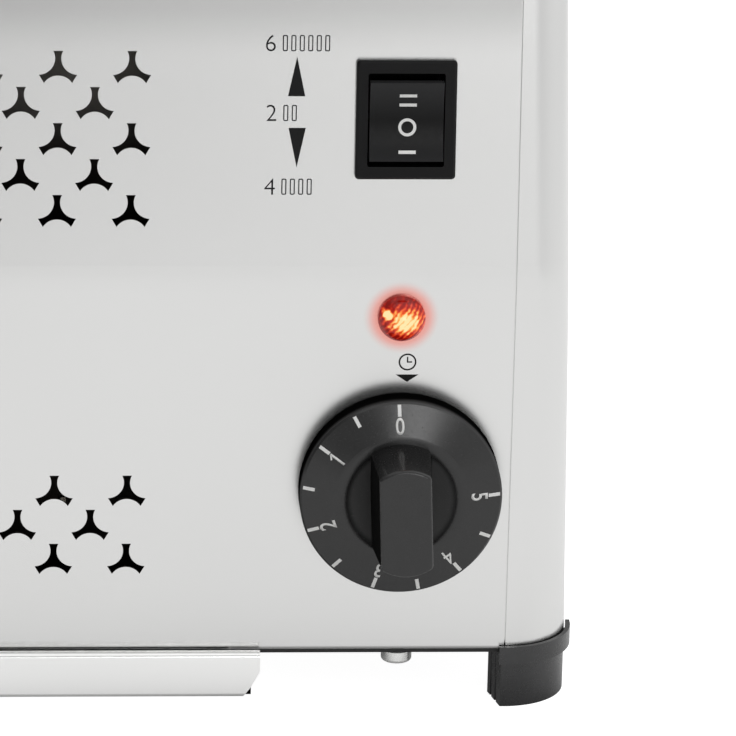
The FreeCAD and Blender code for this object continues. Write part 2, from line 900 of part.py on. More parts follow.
# Lift: racks, carriage, rods and lever
def bread_rack():
    """One rack at the middle: an upright bar with cross fingers, its ends against the carriage beams."""
    top = rack_rest_height
    half_x = rack_bar_thickness / 2
    bar = box(-half_x, half_x, -beam_y, beam_y, top - rack_bar_height, top)
    z = top - rack_finger_wire / 2
    reach = rack_finger_length / 2
    fingers = []
    for i in range(rack_fingers):
        y = (i - (rack_fingers - 1) / 2) * rack_finger_spacing
        fingers.append(rod(V(-reach, y, z), V(reach, y, z), rack_finger_wire))
    return joined([bar] + fingers)


def rod_ys():
    return -rod_spacing / 2, rod_spacing / 2


def lift_carriage():
    """Front and rear beams joined by a cross plate whose lugs slide on two rods."""
    top = rack_rest_height
    outer_y = beam_y + beam_thickness
    far_x = slot_places[-1] + beam_overrun
    beams = [
        box(carriage_x, far_x, -outer_y, -beam_y, top - beam_height, top),
        box(carriage_x, far_x, beam_y, outer_y, top - beam_height, top),
    ]
    low = plate_top - carriage_height
    plate = box(carriage_x - beam_thickness, carriage_x, -outer_y, outer_y, low, plate_top)
    lugs = []
    bores = []
    for y in rod_ys():
        for z in (low, plate_top - beam_thickness):
            lug = box(rod_x - lug_reach, carriage_x, y - lug_reach, y + lug_reach, z, z + beam_thickness)
            lugs.append(lug)
        bores.append(rod(V(rod_x, y, low - 1), V(rod_x, y, plate_top + 1), bush_diameter))
    return joined(beams + [plate] + lugs).cut(bores)


def carriage_bushes():
    bushes = []
    for y in rod_ys():
        low = V(rod_x, y, plate_top - carriage_height - bush_proud)
        high = V(rod_x, y, plate_top + bush_proud)
        bushes.append(rod(low, high, bush_diameter).cut(rod(low, high, rod_diameter + 2 * running_gap)))
    return Part.makeCompound(bushes)


def guide_rods():
    top = bracket_height + rod_end
    rods = [rod(V(rod_x, y, standing_gap), V(rod_x, y, top), rod_diameter) for y in rod_ys()]
    return Part.makeCompound(rods)


def guide_bracket():
    """Angle on the left chamber wall that holds the tops of the rods."""
    face_x = -wall_x - steel
    top = bracket_height + beam_thickness
    path = [(face_x, bracket_height - bracket_drop), (face_x, top, fold_radius), (rod_x - lug_reach, top)]
    bracket = folded(path, beam_thickness, "xz", -bracket_width / 2, bracket_width / 2)
    hole = rod_diameter + 2 * running_gap
    return bracket.cut([rod(V(rod_x, y, 0), V(rod_x, y, casing_height), hole) for y in rod_ys()])


def handle_near_x():
    return -end_plane_x(lever_height) - handle_gap


def lever_arm():
    """Flat cranked arm from the carriage up and out through the left cap's slot."""
    inner_x = carriage_x - beam_thickness
    low = plate_top - carriage_height + lever_foot_rise
    rise_x = inner_x - lever_crank
    out_x = handle_near_x() - handle_length + handle_wall
    arm_low = lever_height - lever_width / 2
    arm_high = arm_low + lever_width
    corners = [
        (inner_x, low),
        (rise_x - lever_width, low, lever_corner),
        (rise_x - lever_width, arm_low, lever_corner),
        (out_x, arm_low),
        (out_x, arm_high),
        (rise_x, arm_high, lever_corner),
        (rise_x, low + lever_width, lever_corner),
        (inner_x, low + lever_width),
    ]
    return prism(corners, "xz", -lever_thickness / 2, lever_thickness / 2)


def lever_handle():
    """Moulded grip pushed onto the end of the arm."""
    near = handle_near_x()
    far = near - handle_length
    half_w = handle_width / 2
    half_h = handle_height / 2
    grip = box(far, near, -half_w, half_w, lever_height - half_h, lever_height + half_h)
    rounded_edges = [e for e in grip.Edges if e.BoundBox.XMax < far + 0.01 or e.BoundBox.XLength > 1]
    grip = grip.makeFillet(handle_round, rounded_edges)
    half_t = lever_thickness / 2
    socket = box(far + handle_wall, near + 1, -half_t, half_t, lever_height - lever_width / 2,
                 lever_height + lever_width / 2)
    return grip.cut(socket)


# Timer and its knob
def timer_screw_heights():
    return timer_height - timer_screw_spacing / 2, timer_height + timer_screw_spacing / 2


def timer_case():
    outline = rounded(timer_width, timer_width, timer_corner, (timer_x, timer_height))
    case = prism(outline, "xz", timer_front_y, timer_front_y + timer_depth)
    bores = [along_y(timer_x, timer_height, timer_front_y - 1, timer_front_y + timer_shaft_seat,
                     shaft_diameter + 2 * running_gap)]
    for z in timer_screw_heights():
        bores.append(along_y(timer_x, z, timer_front_y - 1, timer_front_y + screw_length, screw_hole))
    return case.cut(bores)


def timer_mounting_plate():
    across = timer_width - timer_plate_extra
    up = timer_width + timer_plate_extra
    outline = rounded(across, up, timer_plate_corner, (timer_x, timer_height))
    plate = prism(outline, "xz", panel_inner_y, timer_front_y)
    bores = [along_y(timer_x, timer_height, -half_depth, 0, shaft_diameter + 2 * running_gap)]
    for z in timer_screw_heights():
        bores.append(along_y(timer_x, z, -half_depth, 0, screw_hole))
    return plate.cut(bores)


def timer_bell():
    """Domed bell over a central post behind the timer."""
    start = timer_front_y + timer_depth
    end = start + bell_depth
    bell = along_y(timer_x, timer_height, start, end, bell_diameter)
    bell = bell.makeFillet(bell_round, [e for e in bell.Edges if e.BoundBox.YMin > end - 0.01])
    hollow = along_y(timer_x, timer_height, start, end - bell_wall, bell_diameter - 2 * bell_wall)
    post = along_y(timer_x, timer_height, start, start + bell_post_depth, shaft_diameter)
    return joined([bell.cut(hollow), post])


def timer_shaft():
    start = timer_front_y + timer_shaft_seat
    end = knob_back_y - knob_cone_height + 1
    shaft = rod(V(0, start, 0), V(0, end, 0), shaft_diameter)
    flat_z = shaft_diameter / 2 - shaft_flat
    shaft = shaft.cut(box(-shaft_diameter, shaft_diameter, end - 1, knob_back_y, flat_z, shaft_diameter))
    shaft.rotate(V(0, 0, 0), V(0, 1, 0), -knob_rest_turn)
    return moved(shaft, timer_x, 0, timer_height)


def timer_screws():
    """Two screws through the panel into the timer, hidden in the knob's hollow back."""
    screws = []
    for z in timer_screw_heights():
        head = along_y(timer_x, z, -half_depth - timer_screw_head, -half_depth, screw_head_diameter)
        shank = along_y(timer_x, z, -half_depth, -half_depth + screw_length, screw_shank)
        screws.append(joined([head, shank]))
    return Part.makeCompound(screws)


def grip_outline(extra, height):
    """Plan of the knob's bar: straight sides and bulged ends."""
    w = grip_width / 2 + extra
    end = grip_length / 2 + extra
    side = end - grip_end_bulge
    y = -height
    return Part.Wire([
        Part.makeLine(V(w, y, -side), V(w, y, side)),
        Part.Arc(V(w, y, side), V(0, y, end), V(-w, y, side)).toShape(),
        Part.makeLine(V(-w, y, side), V(-w, y, -side)),
        Part.Arc(V(-w, y, -side), V(0, y, -end), V(w, y, -side)).toShape(),
    ])


def timer_knob():
    """Dial knob: rim, printed cone, dished middle and an upright bar to hold."""
    radius = knob_diameter / 2
    hub = shaft_diameter / 2 + knob_hub_wall
    hollow = knob_dish_floor - knob_skin
    profile = [
        (0, knob_dish_floor),
        (0, knob_bore_mouth),
        (hub, knob_bore_mouth),
        (hub, hollow),
        (radius - knob_rim_wall, hollow),
        (radius - knob_rim_wall, 0),
        (radius, 0),
        (radius, knob_rim - knob_rim_edge),
        (radius - knob_rim_edge, knob_rim),
        (knob_dish_radius, knob_cone_height),
    ]
    points = [V(r, -h, 0) for r, h in profile]
    dish_depth = knob_cone_height - knob_dish_floor
    ball = (knob_dish_radius ** 2 + dish_depth ** 2) / (2 * dish_depth)
    half_way = knob_dish_radius / 2
    halfway_height = knob_dish_floor + ball - math.sqrt(ball ** 2 - half_way ** 2)
    edges = [Part.makeLine(start, end) for start, end in zip(points, points[1:])]
    edges.append(Part.Arc(points[-1], V(half_way, -halfway_height, 0), points[0]).toShape())
    disc = Part.Face(Part.Wire(edges)).revolve(V(0, 0, 0), V(0, 1, 0), 360)
    brim = [e for e in disc.Edges if abs(e.BoundBox.XMax - knob_dish_radius) < 0.1 and e.BoundBox.YLength < 0.1]
    disc = disc.makeFillet(knob_brim_round, brim)
    bar_foot = grip_outline(grip_draft, knob_dish_floor - 1)
    grip = Part.makeLoft([bar_foot, grip_outline(0, knob_height)], True, True)
    grip = grip.makeFillet(grip_corner, [e for e in grip.Edges if e.BoundBox.YLength > 5])
    grip = grip.makeFillet(grip_edge, [e for e in grip.Edges if e.BoundBox.YMax < 0.01 - knob_height])
    bore = rod(V(0, 0, 0), V(0, -knob_cone_height, 0), shaft_diameter + 2 * running_gap)
    flat_z = shaft_diameter / 2 - shaft_flat + running_gap
    flat = box(-shaft_diameter, shaft_diameter, -knob_cone_height, 0, flat_z, shaft_diameter)
    knob = joined([disc, grip]).cut(bore.cut(flat))
    knob.rotate(V(0, 0, 0), V(0, 1, 0), -knob_rest_turn)
    return moved(knob, timer_x, knob_back_y, timer_height)


# Rocker switch, modelled square to its panel and then placed on it
rocker_pivot_y = rocker_pivot_depth - bezel_thickness


def rocker_housing():
    bezel = prism(rounded(switch_width, switch_height, bezel_corner), "xz", -bezel_thickness, 0)
    front_edges = [e for e in bezel.Edges if e.BoundBox.YMax < 0.01 - bezel_thickness]
    bezel = bezel.makeChamfer(bezel_bevel, front_edges)
    outline = rounded(switch_body_width, switch_body_height, switch_body_corner)
    body = prism(outline, "xz", 0, switch_body_depth)
    window = prism(rounded(window_width, window_height, window_corner), "xz", -bezel_thickness - 1,
                   switch_body_depth - switch_back_wall)
    pin_hole = rod(V(-switch_body_width, rocker_pivot_y, 0), V(switch_body_width, rocker_pivot_y, 0),
                   rocker_pin_diameter + 2 * running_gap)
    return on_panel(joined([bezel, body]).cut([window, pin_hole]), control_x, switch_up)


def rocker():
    """Three-position rocker: hollow front face, tapered back, a pin each side."""
    top = rocker_height / 2
    front = -bezel_thickness - rocker_proud
    edge = front + rocker_edge
    back = front + rocker_back_depth
    back_top = top - rocker_back_taper
    lower_half = [V(0, front, -top), V(0, edge, -top), V(0, back, -back_top)]
    corners = lower_half + [V(0, p.y, -p.z) for p in lower_half[::-1]]
    sides = [Part.makeLine(a, b) for a, b in zip(corners, corners[1:])]
    sides.append(Part.Arc(corners[-1], V(0, front + rocker_hollow, 0), corners[0]).toShape())
    blade = Part.Face(Part.Wire(sides)).extrude(V(rocker_width, 0, 0))
    pin_end = switch_body_width / 2 - rocker_pin_end_gap
    pin = rod(V(-pin_end, rocker_pivot_y, 0), V(pin_end, rocker_pivot_y, 0), rocker_pin_diameter)
    return on_panel(joined([moved(blade, -rocker_width / 2, 0, 0), pin]), control_x, switch_up)


def switch_terminals():
    tabs = []
    for x in (-tab_column_spacing / 2, tab_column_spacing / 2):
        for row in (-1, 0, 1):
            z = row * tab_row_spacing
            tab = box(x - tab_width / 2, x + tab_width / 2, switch_body_depth, switch_body_depth + tab_length,
                      z - tab_thickness / 2, z + tab_thickness / 2)
            tabs.append(on_panel(tab, control_x, switch_up))
    return Part.makeCompound(tabs)


# Indicator lamp
def lamp_lens():
    """Domed lens on a thin flange, with a stem into the lamp's tube."""
    radius = lamp_diameter / 2
    tip = lamp_flange + lamp_dome
    ball = (radius ** 2 + lamp_dome ** 2) / (2 * lamp_dome)
    slope = math.asin(radius / ball) / 2
    shoulder = V(ball * math.sin(slope), ball - tip - ball * math.cos(slope), 0)
    edges = [
        Part.makeLine(V(0, 0, 0), V(radius, 0, 0)),
        Part.makeLine(V(radius, 0, 0), V(radius, -lamp_flange, 0)),
        Part.Arc(V(radius, -lamp_flange, 0), shoulder, V(0, -tip, 0)).toShape(),
        Part.makeLine(V(0, -tip, 0), V(0, 0, 0)),
    ]
    dome = Part.Face(Part.Wire(edges)).revolve(V(0, 0, 0), V(0, 1, 0), 360)
    stem = rod(V(0, 0, 0), V(0, lamp_stem, 0), lamp_body_diameter - 2 * lamp_tube_wall)
    return moved(joined([dome, stem]), control_x, -half_depth, lamp_z)


def lamp_body():
    tube = rod(V(0, 0, 0), V(0, lamp_body_length, 0), lamp_body_diameter)
    socket = rod(V(0, 0, 0), V(0, lamp_stem, 0), lamp_body_diameter - 2 * lamp_tube_wall)
    return moved(tube.cut(socket), control_x, -half_depth, lamp_z)


def hexagon_nut(bore, wall, thickness, x, z, y):
    """A nut lying along Y from y onwards, with corners to either side."""
    corner = (bore / 2 + wall) / math.cos(math.radians(30))
    turns = [math.radians(a) for a in range(0, 360, 60)]
    outline = [(x + corner * math.cos(a), z + corner * math.sin(a)) for a in turns]
    return prism(outline, "xz", y, y + thickness).cut(rod(V(x, y - 1, z), V(x, y + thickness + 1, z), bore))


def lamp_nut():
    return hexagon_nut(lamp_body_diameter, nut_wall, nut_thickness, control_x, lamp_z, panel_inner_y)


# Supply entry at the back
def cable_gland():
    y = half_depth
    far = y + gland_flange_depth
    flange = along_y(control_x, cord_height, y, far, gland_neck + 2 * gland_flange)
    flange = flange.makeFillet(gland_round, [e for e in flange.Edges if e.BoundBox.YMin > far - 0.01])
    neck = along_y(control_x, cord_height, y - gland_neck_length, y, gland_neck)
    bore = along_y(control_x, cord_height, y - gland_neck_length - 1, far + 1, cord_hole)
    return joined([flange, neck]).cut(bore)


def gland_nut():
    y = half_depth - steel - gland_nut_thickness
    return hexagon_nut(gland_neck, gland_flange, gland_nut_thickness, control_x, cord_height, y)


def block_places():
    return [control_x + (i - (block_ways - 1) / 2) * block_pitch for i in range(block_ways)]


def terminal_block():
    """Screw terminal block on the base plate inside the supply entry."""
    near, far = block_y - block_depth / 2, block_y + block_depth / 2
    top = standing_gap + block_height
    block = box(control_x - block_width / 2, control_x + block_width / 2, near, far, standing_gap, top)
    tools = []
    for x in block_places():
        for y in (block_y - block_depth / 4, block_y + block_depth / 4):
            tools.append(rod(V(x, y, top - block_height / 2), V(x, y, top + 1), block_well))
        z = standing_gap + block_entry_height
        tools.append(rod(V(x, near - 1, z), V(x, far + 1, z), block_entry))
    return block.cut(tools)


def wire(points):
    """Insulated wire: straight runs joined by tangent bends."""
    corners = [V(*p) for p in points]
    edges = []
    start = corners[0]
    for before, corner, after in zip(corners, corners[1:], corners[2:]):
        back = (before - corner).normalize()
        forth = (after - corner).normalize()
        half = math.acos(back.dot(forth)) / 2
        reach = wire_bend / math.tan(half)
        inward = (back + forth).normalize()
        middle = corner + inward * (wire_bend / math.sin(half) - wire_bend)
        edges.append(Part.LineSegment(start, corner + back * reach).toShape())
        edges.append(Part.Arc(corner + back * reach, middle, corner + forth * reach).toShape())
        start = corner + forth * reach
    edges.append(Part.LineSegment(start, corners[-1]).toShape())
    path = Part.Wire(edges)
    first = (corners[1] - corners[0]).normalize()
    section = Part.Wire(Part.makeCircle(wire_diameter / 2, corners[0], first))
    return path.makePipeShell([section], True, False)


def internal_wires():
    """Block to switch, switch to timer, timer and block to the bus bars, timer to lamp."""
    left, middle = block_places()[:2]
    low = standing_gap + block_entry_height
    switch_z = panel_bend_height + switch_up * math.cos(lean)
    switch_back = tab_tip_y() + seat_gap
    bar_y = -shield_y - mica_tab_reach - bus_bar_thickness / 2
    bar_end = wall_x + bus_bar_end + seat_gap
    bar_z = [bus_bar_low(number) + bus_bar_width / 2 for number in range(2)]
    timer_y = timer_front_y + timer_depth / 2
    timer_top = timer_height + timer_width / 2 + seat_gap
    left_tab = control_x - tab_column_spacing / 2
    right_tab = control_x + tab_column_spacing / 2
    free_y = -half_depth / 2
    runs = [
        [(left, block_y - 1, low), (left, free_y + 8, low), (left_tab, free_y + 8, switch_z),
         (left_tab, switch_back, switch_z)],
        [(middle, block_y - 1, low), (middle, free_y + 30, low), (middle, free_y + 30, bar_z[0]),
         (bar_end + 6, bar_y, bar_z[0]), (bar_end, bar_y, bar_z[0])],
        [(right_tab, switch_back, switch_z), (right_tab, free_y, switch_z),
         (right_tab + 9, free_y, lamp_z - 8), (right_tab + 9, timer_y, lamp_z - 8),
         (right_tab + 9, timer_y, timer_top)],
        [(control_x - 16, timer_y, timer_top), (control_x - 16, timer_y, lamp_z + 20),
         (bar_end + 10, bar_y, bar_z[1]), (bar_end, bar_y, bar_z[1])],
    ]
    lamp_end = lamp_body_length - half_depth + seat_gap
    for x in (control_x - 3, control_x + 3):
        runs.append([(x, lamp_end, lamp_z), (x, lamp_end + 16, lamp_z), (x, lamp_end + 16, lamp_z - 13),
                     (x, timer_y + 4, lamp_z - 13), (x, timer_y + 4, timer_top)])
    return Part.makeCompound([wire(run) for run in runs])


def tab_tip_y():
    """How far back the middle terminals of the tilted switch reach."""
    tip = on_panel(Part.Vertex(0, switch_body_depth + tab_length, 0), control_x, switch_up)
    return tip.BoundBox.YMax


# The toaster is drawn about the middle of its casing, then moved so that the middle of its whole outline,
# seen from above, stands at the origin
def outline_middle():
    left = handle_near_x() - handle_length
    right = cap_base_x + foot_collar_proud
    front = knob_back_y - knob_height
    back = half_depth + gland_flange_depth
    return (left + right) / 2, (front + back) / 2


def write(name, shape):
    x, y = outline_middle()
    moved(shape, -x, -y, 0).exportStep("parts/" + name + ".step")


def main():
    os.makedirs("parts", exist_ok=True)
    write("front_panel", front_panel())
    write("rear_panel", rear_panel())
    write("top_panel", top_panel())
    right_cap = right_end_cap()
    write("right_end_cap", right_cap)
    write("left_end_cap", left_end_cap(right_cap))
    write("base_plate", base_plate())
    write("casing_screws", casing_screws())
    write("foot_screws", foot_screws())
    corner_foot = foot()
    write("foot_front_right", corner_foot)
    write("foot_front_left", mirrored(corner_foot, x=True))
    write("foot_rear_right", mirrored(corner_foot, y=True))
    write("foot_rear_left", mirrored(corner_foot, x=True, y=True))
    write("crumb_tray", crumb_tray())
    write("tray_rail_right", tray_rail())
    write("tray_rail_left", mirrored(tray_rail(), x=True))
    write("chamber_wall_right", chamber_wall())
    write("chamber_wall_left", mirrored(chamber_wall(), x=True))
    write("heat_shield_front", heat_shield())
    write("heat_shield_rear", mirrored(heat_shield(), y=True))
    board = mica_board()
    write("mica_boards", Part.makeCompound([moved(board, x, 0, 0) for x in element_places]))
    ribbon = winding()
    write("heating_windings", Part.makeCompound([moved(ribbon, x, 0, 0) for x in element_places]))
    write("bus_bars", bus_bars())
    guard = bread_guard()
    rack = bread_rack()
    for number, x in enumerate(slot_places, 1):
        write(f"bread_guard_{number}", moved(guard, x, 0, 0))
        write(f"bread_rack_{number}", moved(rack, x, 0, 0))
    write("lift_carriage", lift_carriage())
    write("carriage_bushes", carriage_bushes())
    write("guide_rods", guide_rods())
    write("guide_bracket", guide_bracket())
    write("lever_arm", lever_arm())
    write("lever_handle", lever_handle())
    write("timer_case", timer_case())
    write("timer_mounting_plate", timer_mounting_plate())
    write("timer_bell", timer_bell())
    write("timer_shaft", timer_shaft())
    write("timer_screws", timer_screws())
    write("timer_knob", timer_knob())
    write("rocker_housing", rocker_housing())
    write("rocker", rocker())
    write("switch_terminals", switch_terminals())
    write("lamp_lens", lamp_lens())
    write("lamp_body", lamp_body())
    write("lamp_nut", lamp_nut())
    write("cable_gland", cable_gland())
    write("gland_nut", gland_nut())
    write("terminal_block", terminal_block())
    write("internal_wires", internal_wires())


main()
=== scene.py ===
import math

import bpy
from mathutils import Matrix, Vector


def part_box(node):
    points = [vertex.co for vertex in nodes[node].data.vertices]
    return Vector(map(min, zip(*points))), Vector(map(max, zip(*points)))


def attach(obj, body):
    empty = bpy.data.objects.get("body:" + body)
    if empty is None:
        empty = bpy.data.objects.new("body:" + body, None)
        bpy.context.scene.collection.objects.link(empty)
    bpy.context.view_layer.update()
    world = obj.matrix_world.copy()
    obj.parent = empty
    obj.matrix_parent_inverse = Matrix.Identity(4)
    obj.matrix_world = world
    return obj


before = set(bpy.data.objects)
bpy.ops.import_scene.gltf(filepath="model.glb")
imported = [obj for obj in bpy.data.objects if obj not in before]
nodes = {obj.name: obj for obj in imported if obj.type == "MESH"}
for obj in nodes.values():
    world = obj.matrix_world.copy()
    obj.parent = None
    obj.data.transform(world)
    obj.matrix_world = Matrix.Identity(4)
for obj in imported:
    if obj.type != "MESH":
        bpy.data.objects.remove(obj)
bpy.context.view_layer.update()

# Camera. The photograph is a close view of the control end, taken with a long lens from a little
# above and nearly square to the front, so the front panel's edges stay almost parallel in it.
camera_place = (0.044787, -1.90017, 0.73493)
camera_yaw = math.radians(4.42)
camera_pitch = math.radians(19.475)
camera_roll = math.radians(1.468)
camera_data = bpy.data.cameras.new("camera")
camera_data.sensor_width = 36.0
camera_data.lens = 366.85
camera_data.clip_start = 0.1
camera_data.clip_end = 60.0
camera = bpy.data.objects.new("camera", camera_data)
bpy.context.scene.collection.objects.link(camera)
look = Vector((math.sin(camera_yaw) * math.cos(camera_pitch),
               math.cos(camera_yaw) * math.cos(camera_pitch),
               -math.sin(camera_pitch)))
level = Vector((math.cos(camera_yaw), -math.sin(camera_yaw), 0))
upright = level.cross(look)
camera_right = level * math.cos(camera_roll) + upright * math.sin(camera_roll)
camera_up = upright * math.cos(camera_roll) - level * math.sin(camera_roll)
camera_turn = Matrix((camera_right, camera_up, -look)).transposed().to_4x4()
camera.matrix_world = Matrix.Translation(camera_place) @ camera_turn
bpy.context.scene.camera = camera
bpy.context.scene.view_settings.view_transform = "Standard"


# Studio. A white table runs out of sight in a pale room that is dimmer overhead, and that is what grades
# the satin steel. Soft boxes stand low beside the camera, high at the right side and above.
def grey(value):
    return (value, value, value, 1.0)


def add(owner, kind, inputs=None, **settings):
    """Adds a shader node to a material or world; an input is a value, or another node's socket."""
    node = owner.node_tree.nodes.new("ShaderNode" + kind)
    for name, value in settings.items():
        setattr(node, name, value)
    for name, value in (inputs or {}).items():
        if isinstance(value, bpy.types.NodeSocket):
            owner.node_tree.links.new(value, node.inputs[name])
        else:
            node.inputs[name].default_value = value
    return node


def stops(ramp, *places):
    """Sets a colour ramp's stops, each a place and a colour, and gives back the ramp's colour."""
    elements = ramp.color_ramp.elements
    for place, value in places[2:]:
        elements.new(place)
    for element, (place, value) in zip(elements, places):
        element.position = place
        element.color = value
    return ramp.outputs["Color"]


# The room is a shade of grey for each height, darker to the left and lighter to the far right, matched to the
# greys of the photograph's steel. Only the camera, and light through something clear, see it plain white.
room = bpy.data.worlds.new("pale_room")
room.use_nodes = True
bpy.context.scene.world = room
room.node_tree.nodes.clear()
room_direction = add(room, "TexCoord")
room_axes = add(room, "SeparateXYZ", {"Vector": room_direction.outputs["Generated"]})
room_height = add(room, "MapRange", {"Value": room_axes.outputs["Z"], "From Min": -0.2, "From Max": 1.0})
room_greys = stops(add(room, "ValToRGB", {"Fac": room_height.outputs["Result"]}),
                   (0.0, grey(0.8)), (0.16, grey(0.6)), (0.4, grey(0.54)), (1.0, grey(0.5)))
room_side = add(room, "MapRange", {"Value": room_axes.outputs["X"], "From Min": -1.0, "From Max": 1.0,
                                   "To Min": 0.55, "To Max": 1.25})
room_far_right = add(room, "MapRange", {"Value": room_axes.outputs["X"], "From Min": 0.3, "From Max": 0.85,
                                        "To Min": 1.0, "To Max": 1.38})
room_share = add(room, "Math", {0: room_side.outputs["Result"], 1: room_far_right.outputs["Result"]},
                 operation="MULTIPLY")
room_grey = add(room, "MixRGB", {"Fac": 1.0, "Color1": room_greys, "Color2": room_share.outputs[0]},
                blend_type="MULTIPLY")
room_path = add(room, "LightPath")
room_in_sight = add(room, "Math", {0: room_path.outputs["Is Camera Ray"],
                                   1: room_path.outputs["Is Transmission Ray"]}, operation="MAXIMUM")
room_colour = add(room, "MixRGB", {"Fac": room_in_sight.outputs[0], "Color1": room_grey.outputs["Color"],
                                   "Color2": grey(1.0)})
room_light = add(room, "Background", {"Color": room_colour.outputs["Color"], "Strength": 1.0})
add(room, "OutputWorld", {"Surface": room_light.outputs[0]})

# The table looks white to the camera and keeps the toaster's shadow. The steel mirrors greys that were matched
# to the photograph, darkest under the casing and far off; reach is the distance past the casing's outline.
table_size = 24.0
casing_half = (0.235, 0.105, 0.0)
farthest = 2.0
bpy.ops.mesh.primitive_plane_add(size=table_size, location=(0, 0, 0))
table = bpy.context.object
table.name = "table_top"
table_paint = bpy.data.materials.new("matt_white_table")
table_paint.use_nodes = True
table_paint.node_tree.nodes.clear()
table_place = add(table_paint, "TexCoord")
table_side = add(table_paint, "VectorMath", {0: table_place.outputs["Object"]}, operation="ABSOLUTE")
table_past = add(table_paint, "VectorMath", {0: table_side.outputs[0], 1: casing_half}, operation="SUBTRACT")
table_outside = add(table_paint, "VectorMath", {0: table_past.outputs[0], 1: (0.0, 0.0, 0.0)},
                    operation="MAXIMUM")
table_reach = add(table_paint, "VectorMath", {0: table_outside.outputs[0]}, operation="LENGTH")
table_share = add(table_paint, "MapRange", {"Value": table_reach.outputs["Value"], "From Max": farthest})
table_greys = stops(add(table_paint, "ValToRGB", {"Fac": table_share.outputs["Result"]}),
                    (0.0, grey(0.1)), (0.004, grey(0.3)), (0.012, grey(0.5)), (0.03, grey(0.585)),
                    (0.1, grey(0.62)), (0.25, grey(0.6)), (0.38, grey(0.48)), (0.5, grey(0.35)),
                    (0.62, grey(0.15)), (1.0, grey(0.08)))
table_axes = add(table_paint, "SeparateXYZ", {"Vector": table_place.outputs["Object"]})
table_right = add(table_paint, "MapRange", {"Value": table_axes.outputs["X"], "From Min": 0.75,
                                            "From Max": 1.3, "To Min": 0.0, "To Max": 0.62})
table_lit = add(table_paint, "Math", {0: table_greys, 1: table_right.outputs["Result"]},
                operation="MAXIMUM")
table_path = add(table_paint, "LightPath")
table_mirrored = add(table_paint, "Math", {0: table_path.outputs["Is Glossy Ray"],
                                           1: table_lit.outputs[0]}, operation="MULTIPLY")
table_in_sight = add(table_paint, "Math", {0: table_path.outputs["Is Camera Ray"],
                                           1: table_path.outputs["Is Transmission Ray"]},
                     operation="MAXIMUM")
table_seen = add(table_paint, "Math", {0: table_in_sight.outputs[0], 1: 0.95}, operation="MULTIPLY")
table_glow = add(table_paint, "Math", {0: table_seen.outputs[0], 1: table_mirrored.outputs[0]},
                 operation="MAXIMUM")
table_matt = add(table_paint, "BsdfDiffuse", {"Color": grey(0.5)})
table_white = add(table_paint, "Emission", {"Color": grey(1.0), "Strength": table_glow.outputs[0]})
table_both = add(table_paint, "AddShader", {0: table_matt.outputs[0], 1: table_white.outputs[0]})
add(table_paint, "OutputMaterial", {"Surface": table_both.outputs[0]})
table.data.materials.append(table_paint)


def soft_box(name, place, aim, width, height, power):
    """A rectangular lamp of so many watts, turned towards a point."""
    data = bpy.data.lights.new(name, "AREA")
    data.shape = "RECTANGLE"
    data.size = width
    data.size_y = height
    data.energy = power
    lamp = bpy.data.objects.new(name, data)
    bpy.context.scene.collection.objects.link(lamp)
    lamp.location = place
    lamp.rotation_euler = (Vector(aim) - Vector(place)).to_track_quat("-Z", "Y").to_euler()


soft_box("soft_box_right", (0.50, -1.9, 0.42), (0.17, -0.1, 0.06), 0.5, 0.5, 3.5)
soft_box("soft_box_side", (1.35, 0.5, 1.35), (0.2, 0.0, 0.08), 1.6, 1.6, 4.0)
soft_box("soft_box_above", (0.32, -0.45, 1.6), (0.15, -0.1, 0.1), 2.6, 1.6, 9.0)


# Casing: front, top and rear panels of 0.8 mm stainless steel, ground to a satin finish, punched for the vents
# and the bread slots, and welded into one shell. A pale grey metal whose fine grain blurs all it mirrors.
def colour(code):
    """An sRGB hex value as the linear colour that a shader takes."""
    parts = [int(code[i:i + 2], 16) / 255 for i in (1, 3, 5)]
    return tuple(p / 12.92 if p <= 0.04045 else ((p + 0.055) / 1.055) ** 2.4 for p in parts) + (1.0,)


def surface(name, tones, roughness, grain, metallic=0.0, cloud=60.0, bump=0.0, cells=False, **uniform):
    """A worked surface: two tones in patches of cloud mm, and a grain of x, y, z mm that varies the roughness
    and stands bump mm high. With cells the patches are crystals. The rest goes to the shader's own sockets."""
    material = bpy.data.materials.new(name)
    material.use_nodes = True
    material.node_tree.nodes.clear()
    where = add(material, "TexCoord", name="where")
    finely = add(material, "Mapping", {"Vector": where.outputs["Object"],
                                       "Scale": [1000.0 / size for size in grain]})
    grains = add(material, "TexNoise", {"Vector": finely.outputs["Vector"], "Scale": 1.0, "Detail": 3.0,
                                        "Roughness": 0.6}, name="grains")
    patches = add(material, "TexVoronoi" if cells else "TexNoise",
                  {"Vector": where.outputs["Object"], "Scale": 1000.0 / cloud})
    tint = stops(add(material, "ValToRGB", {"Fac": patches.outputs["Color"]}, name="tint"),
                 (0.35, colour(tones[0])), (0.65, colour(tones[1])))
    rough = add(material, "MapRange", {"Value": grains.outputs["Fac"], "From Min": 0.3, "From Max": 0.7,
                                       "To Min": roughness[0], "To Max": roughness[1]})
    relief = add(material, "Bump", {"Height": grains.outputs["Fac"], "Strength": 1.0,
                                    "Distance": bump / 1000.0})
    shader = add(material, "BsdfPrincipled", {"Base Color": tint, "Roughness": rough.outputs["Result"],
                                              "Normal": relief.outputs["Normal"], "Metallic": metallic,
                                              **{key.replace("_", " "): uniform[key] for key in uniform}},
                 name="shader")
    add(material, "OutputMaterial", {"Surface": shader.outputs[0]})
    return material


def repaint(material, *names):
    """Gives whole nodes a material in place of the grey one that they load with."""
    for name in names:
        nodes[name].data.materials.clear()
        nodes[name].data.materials.append(material)


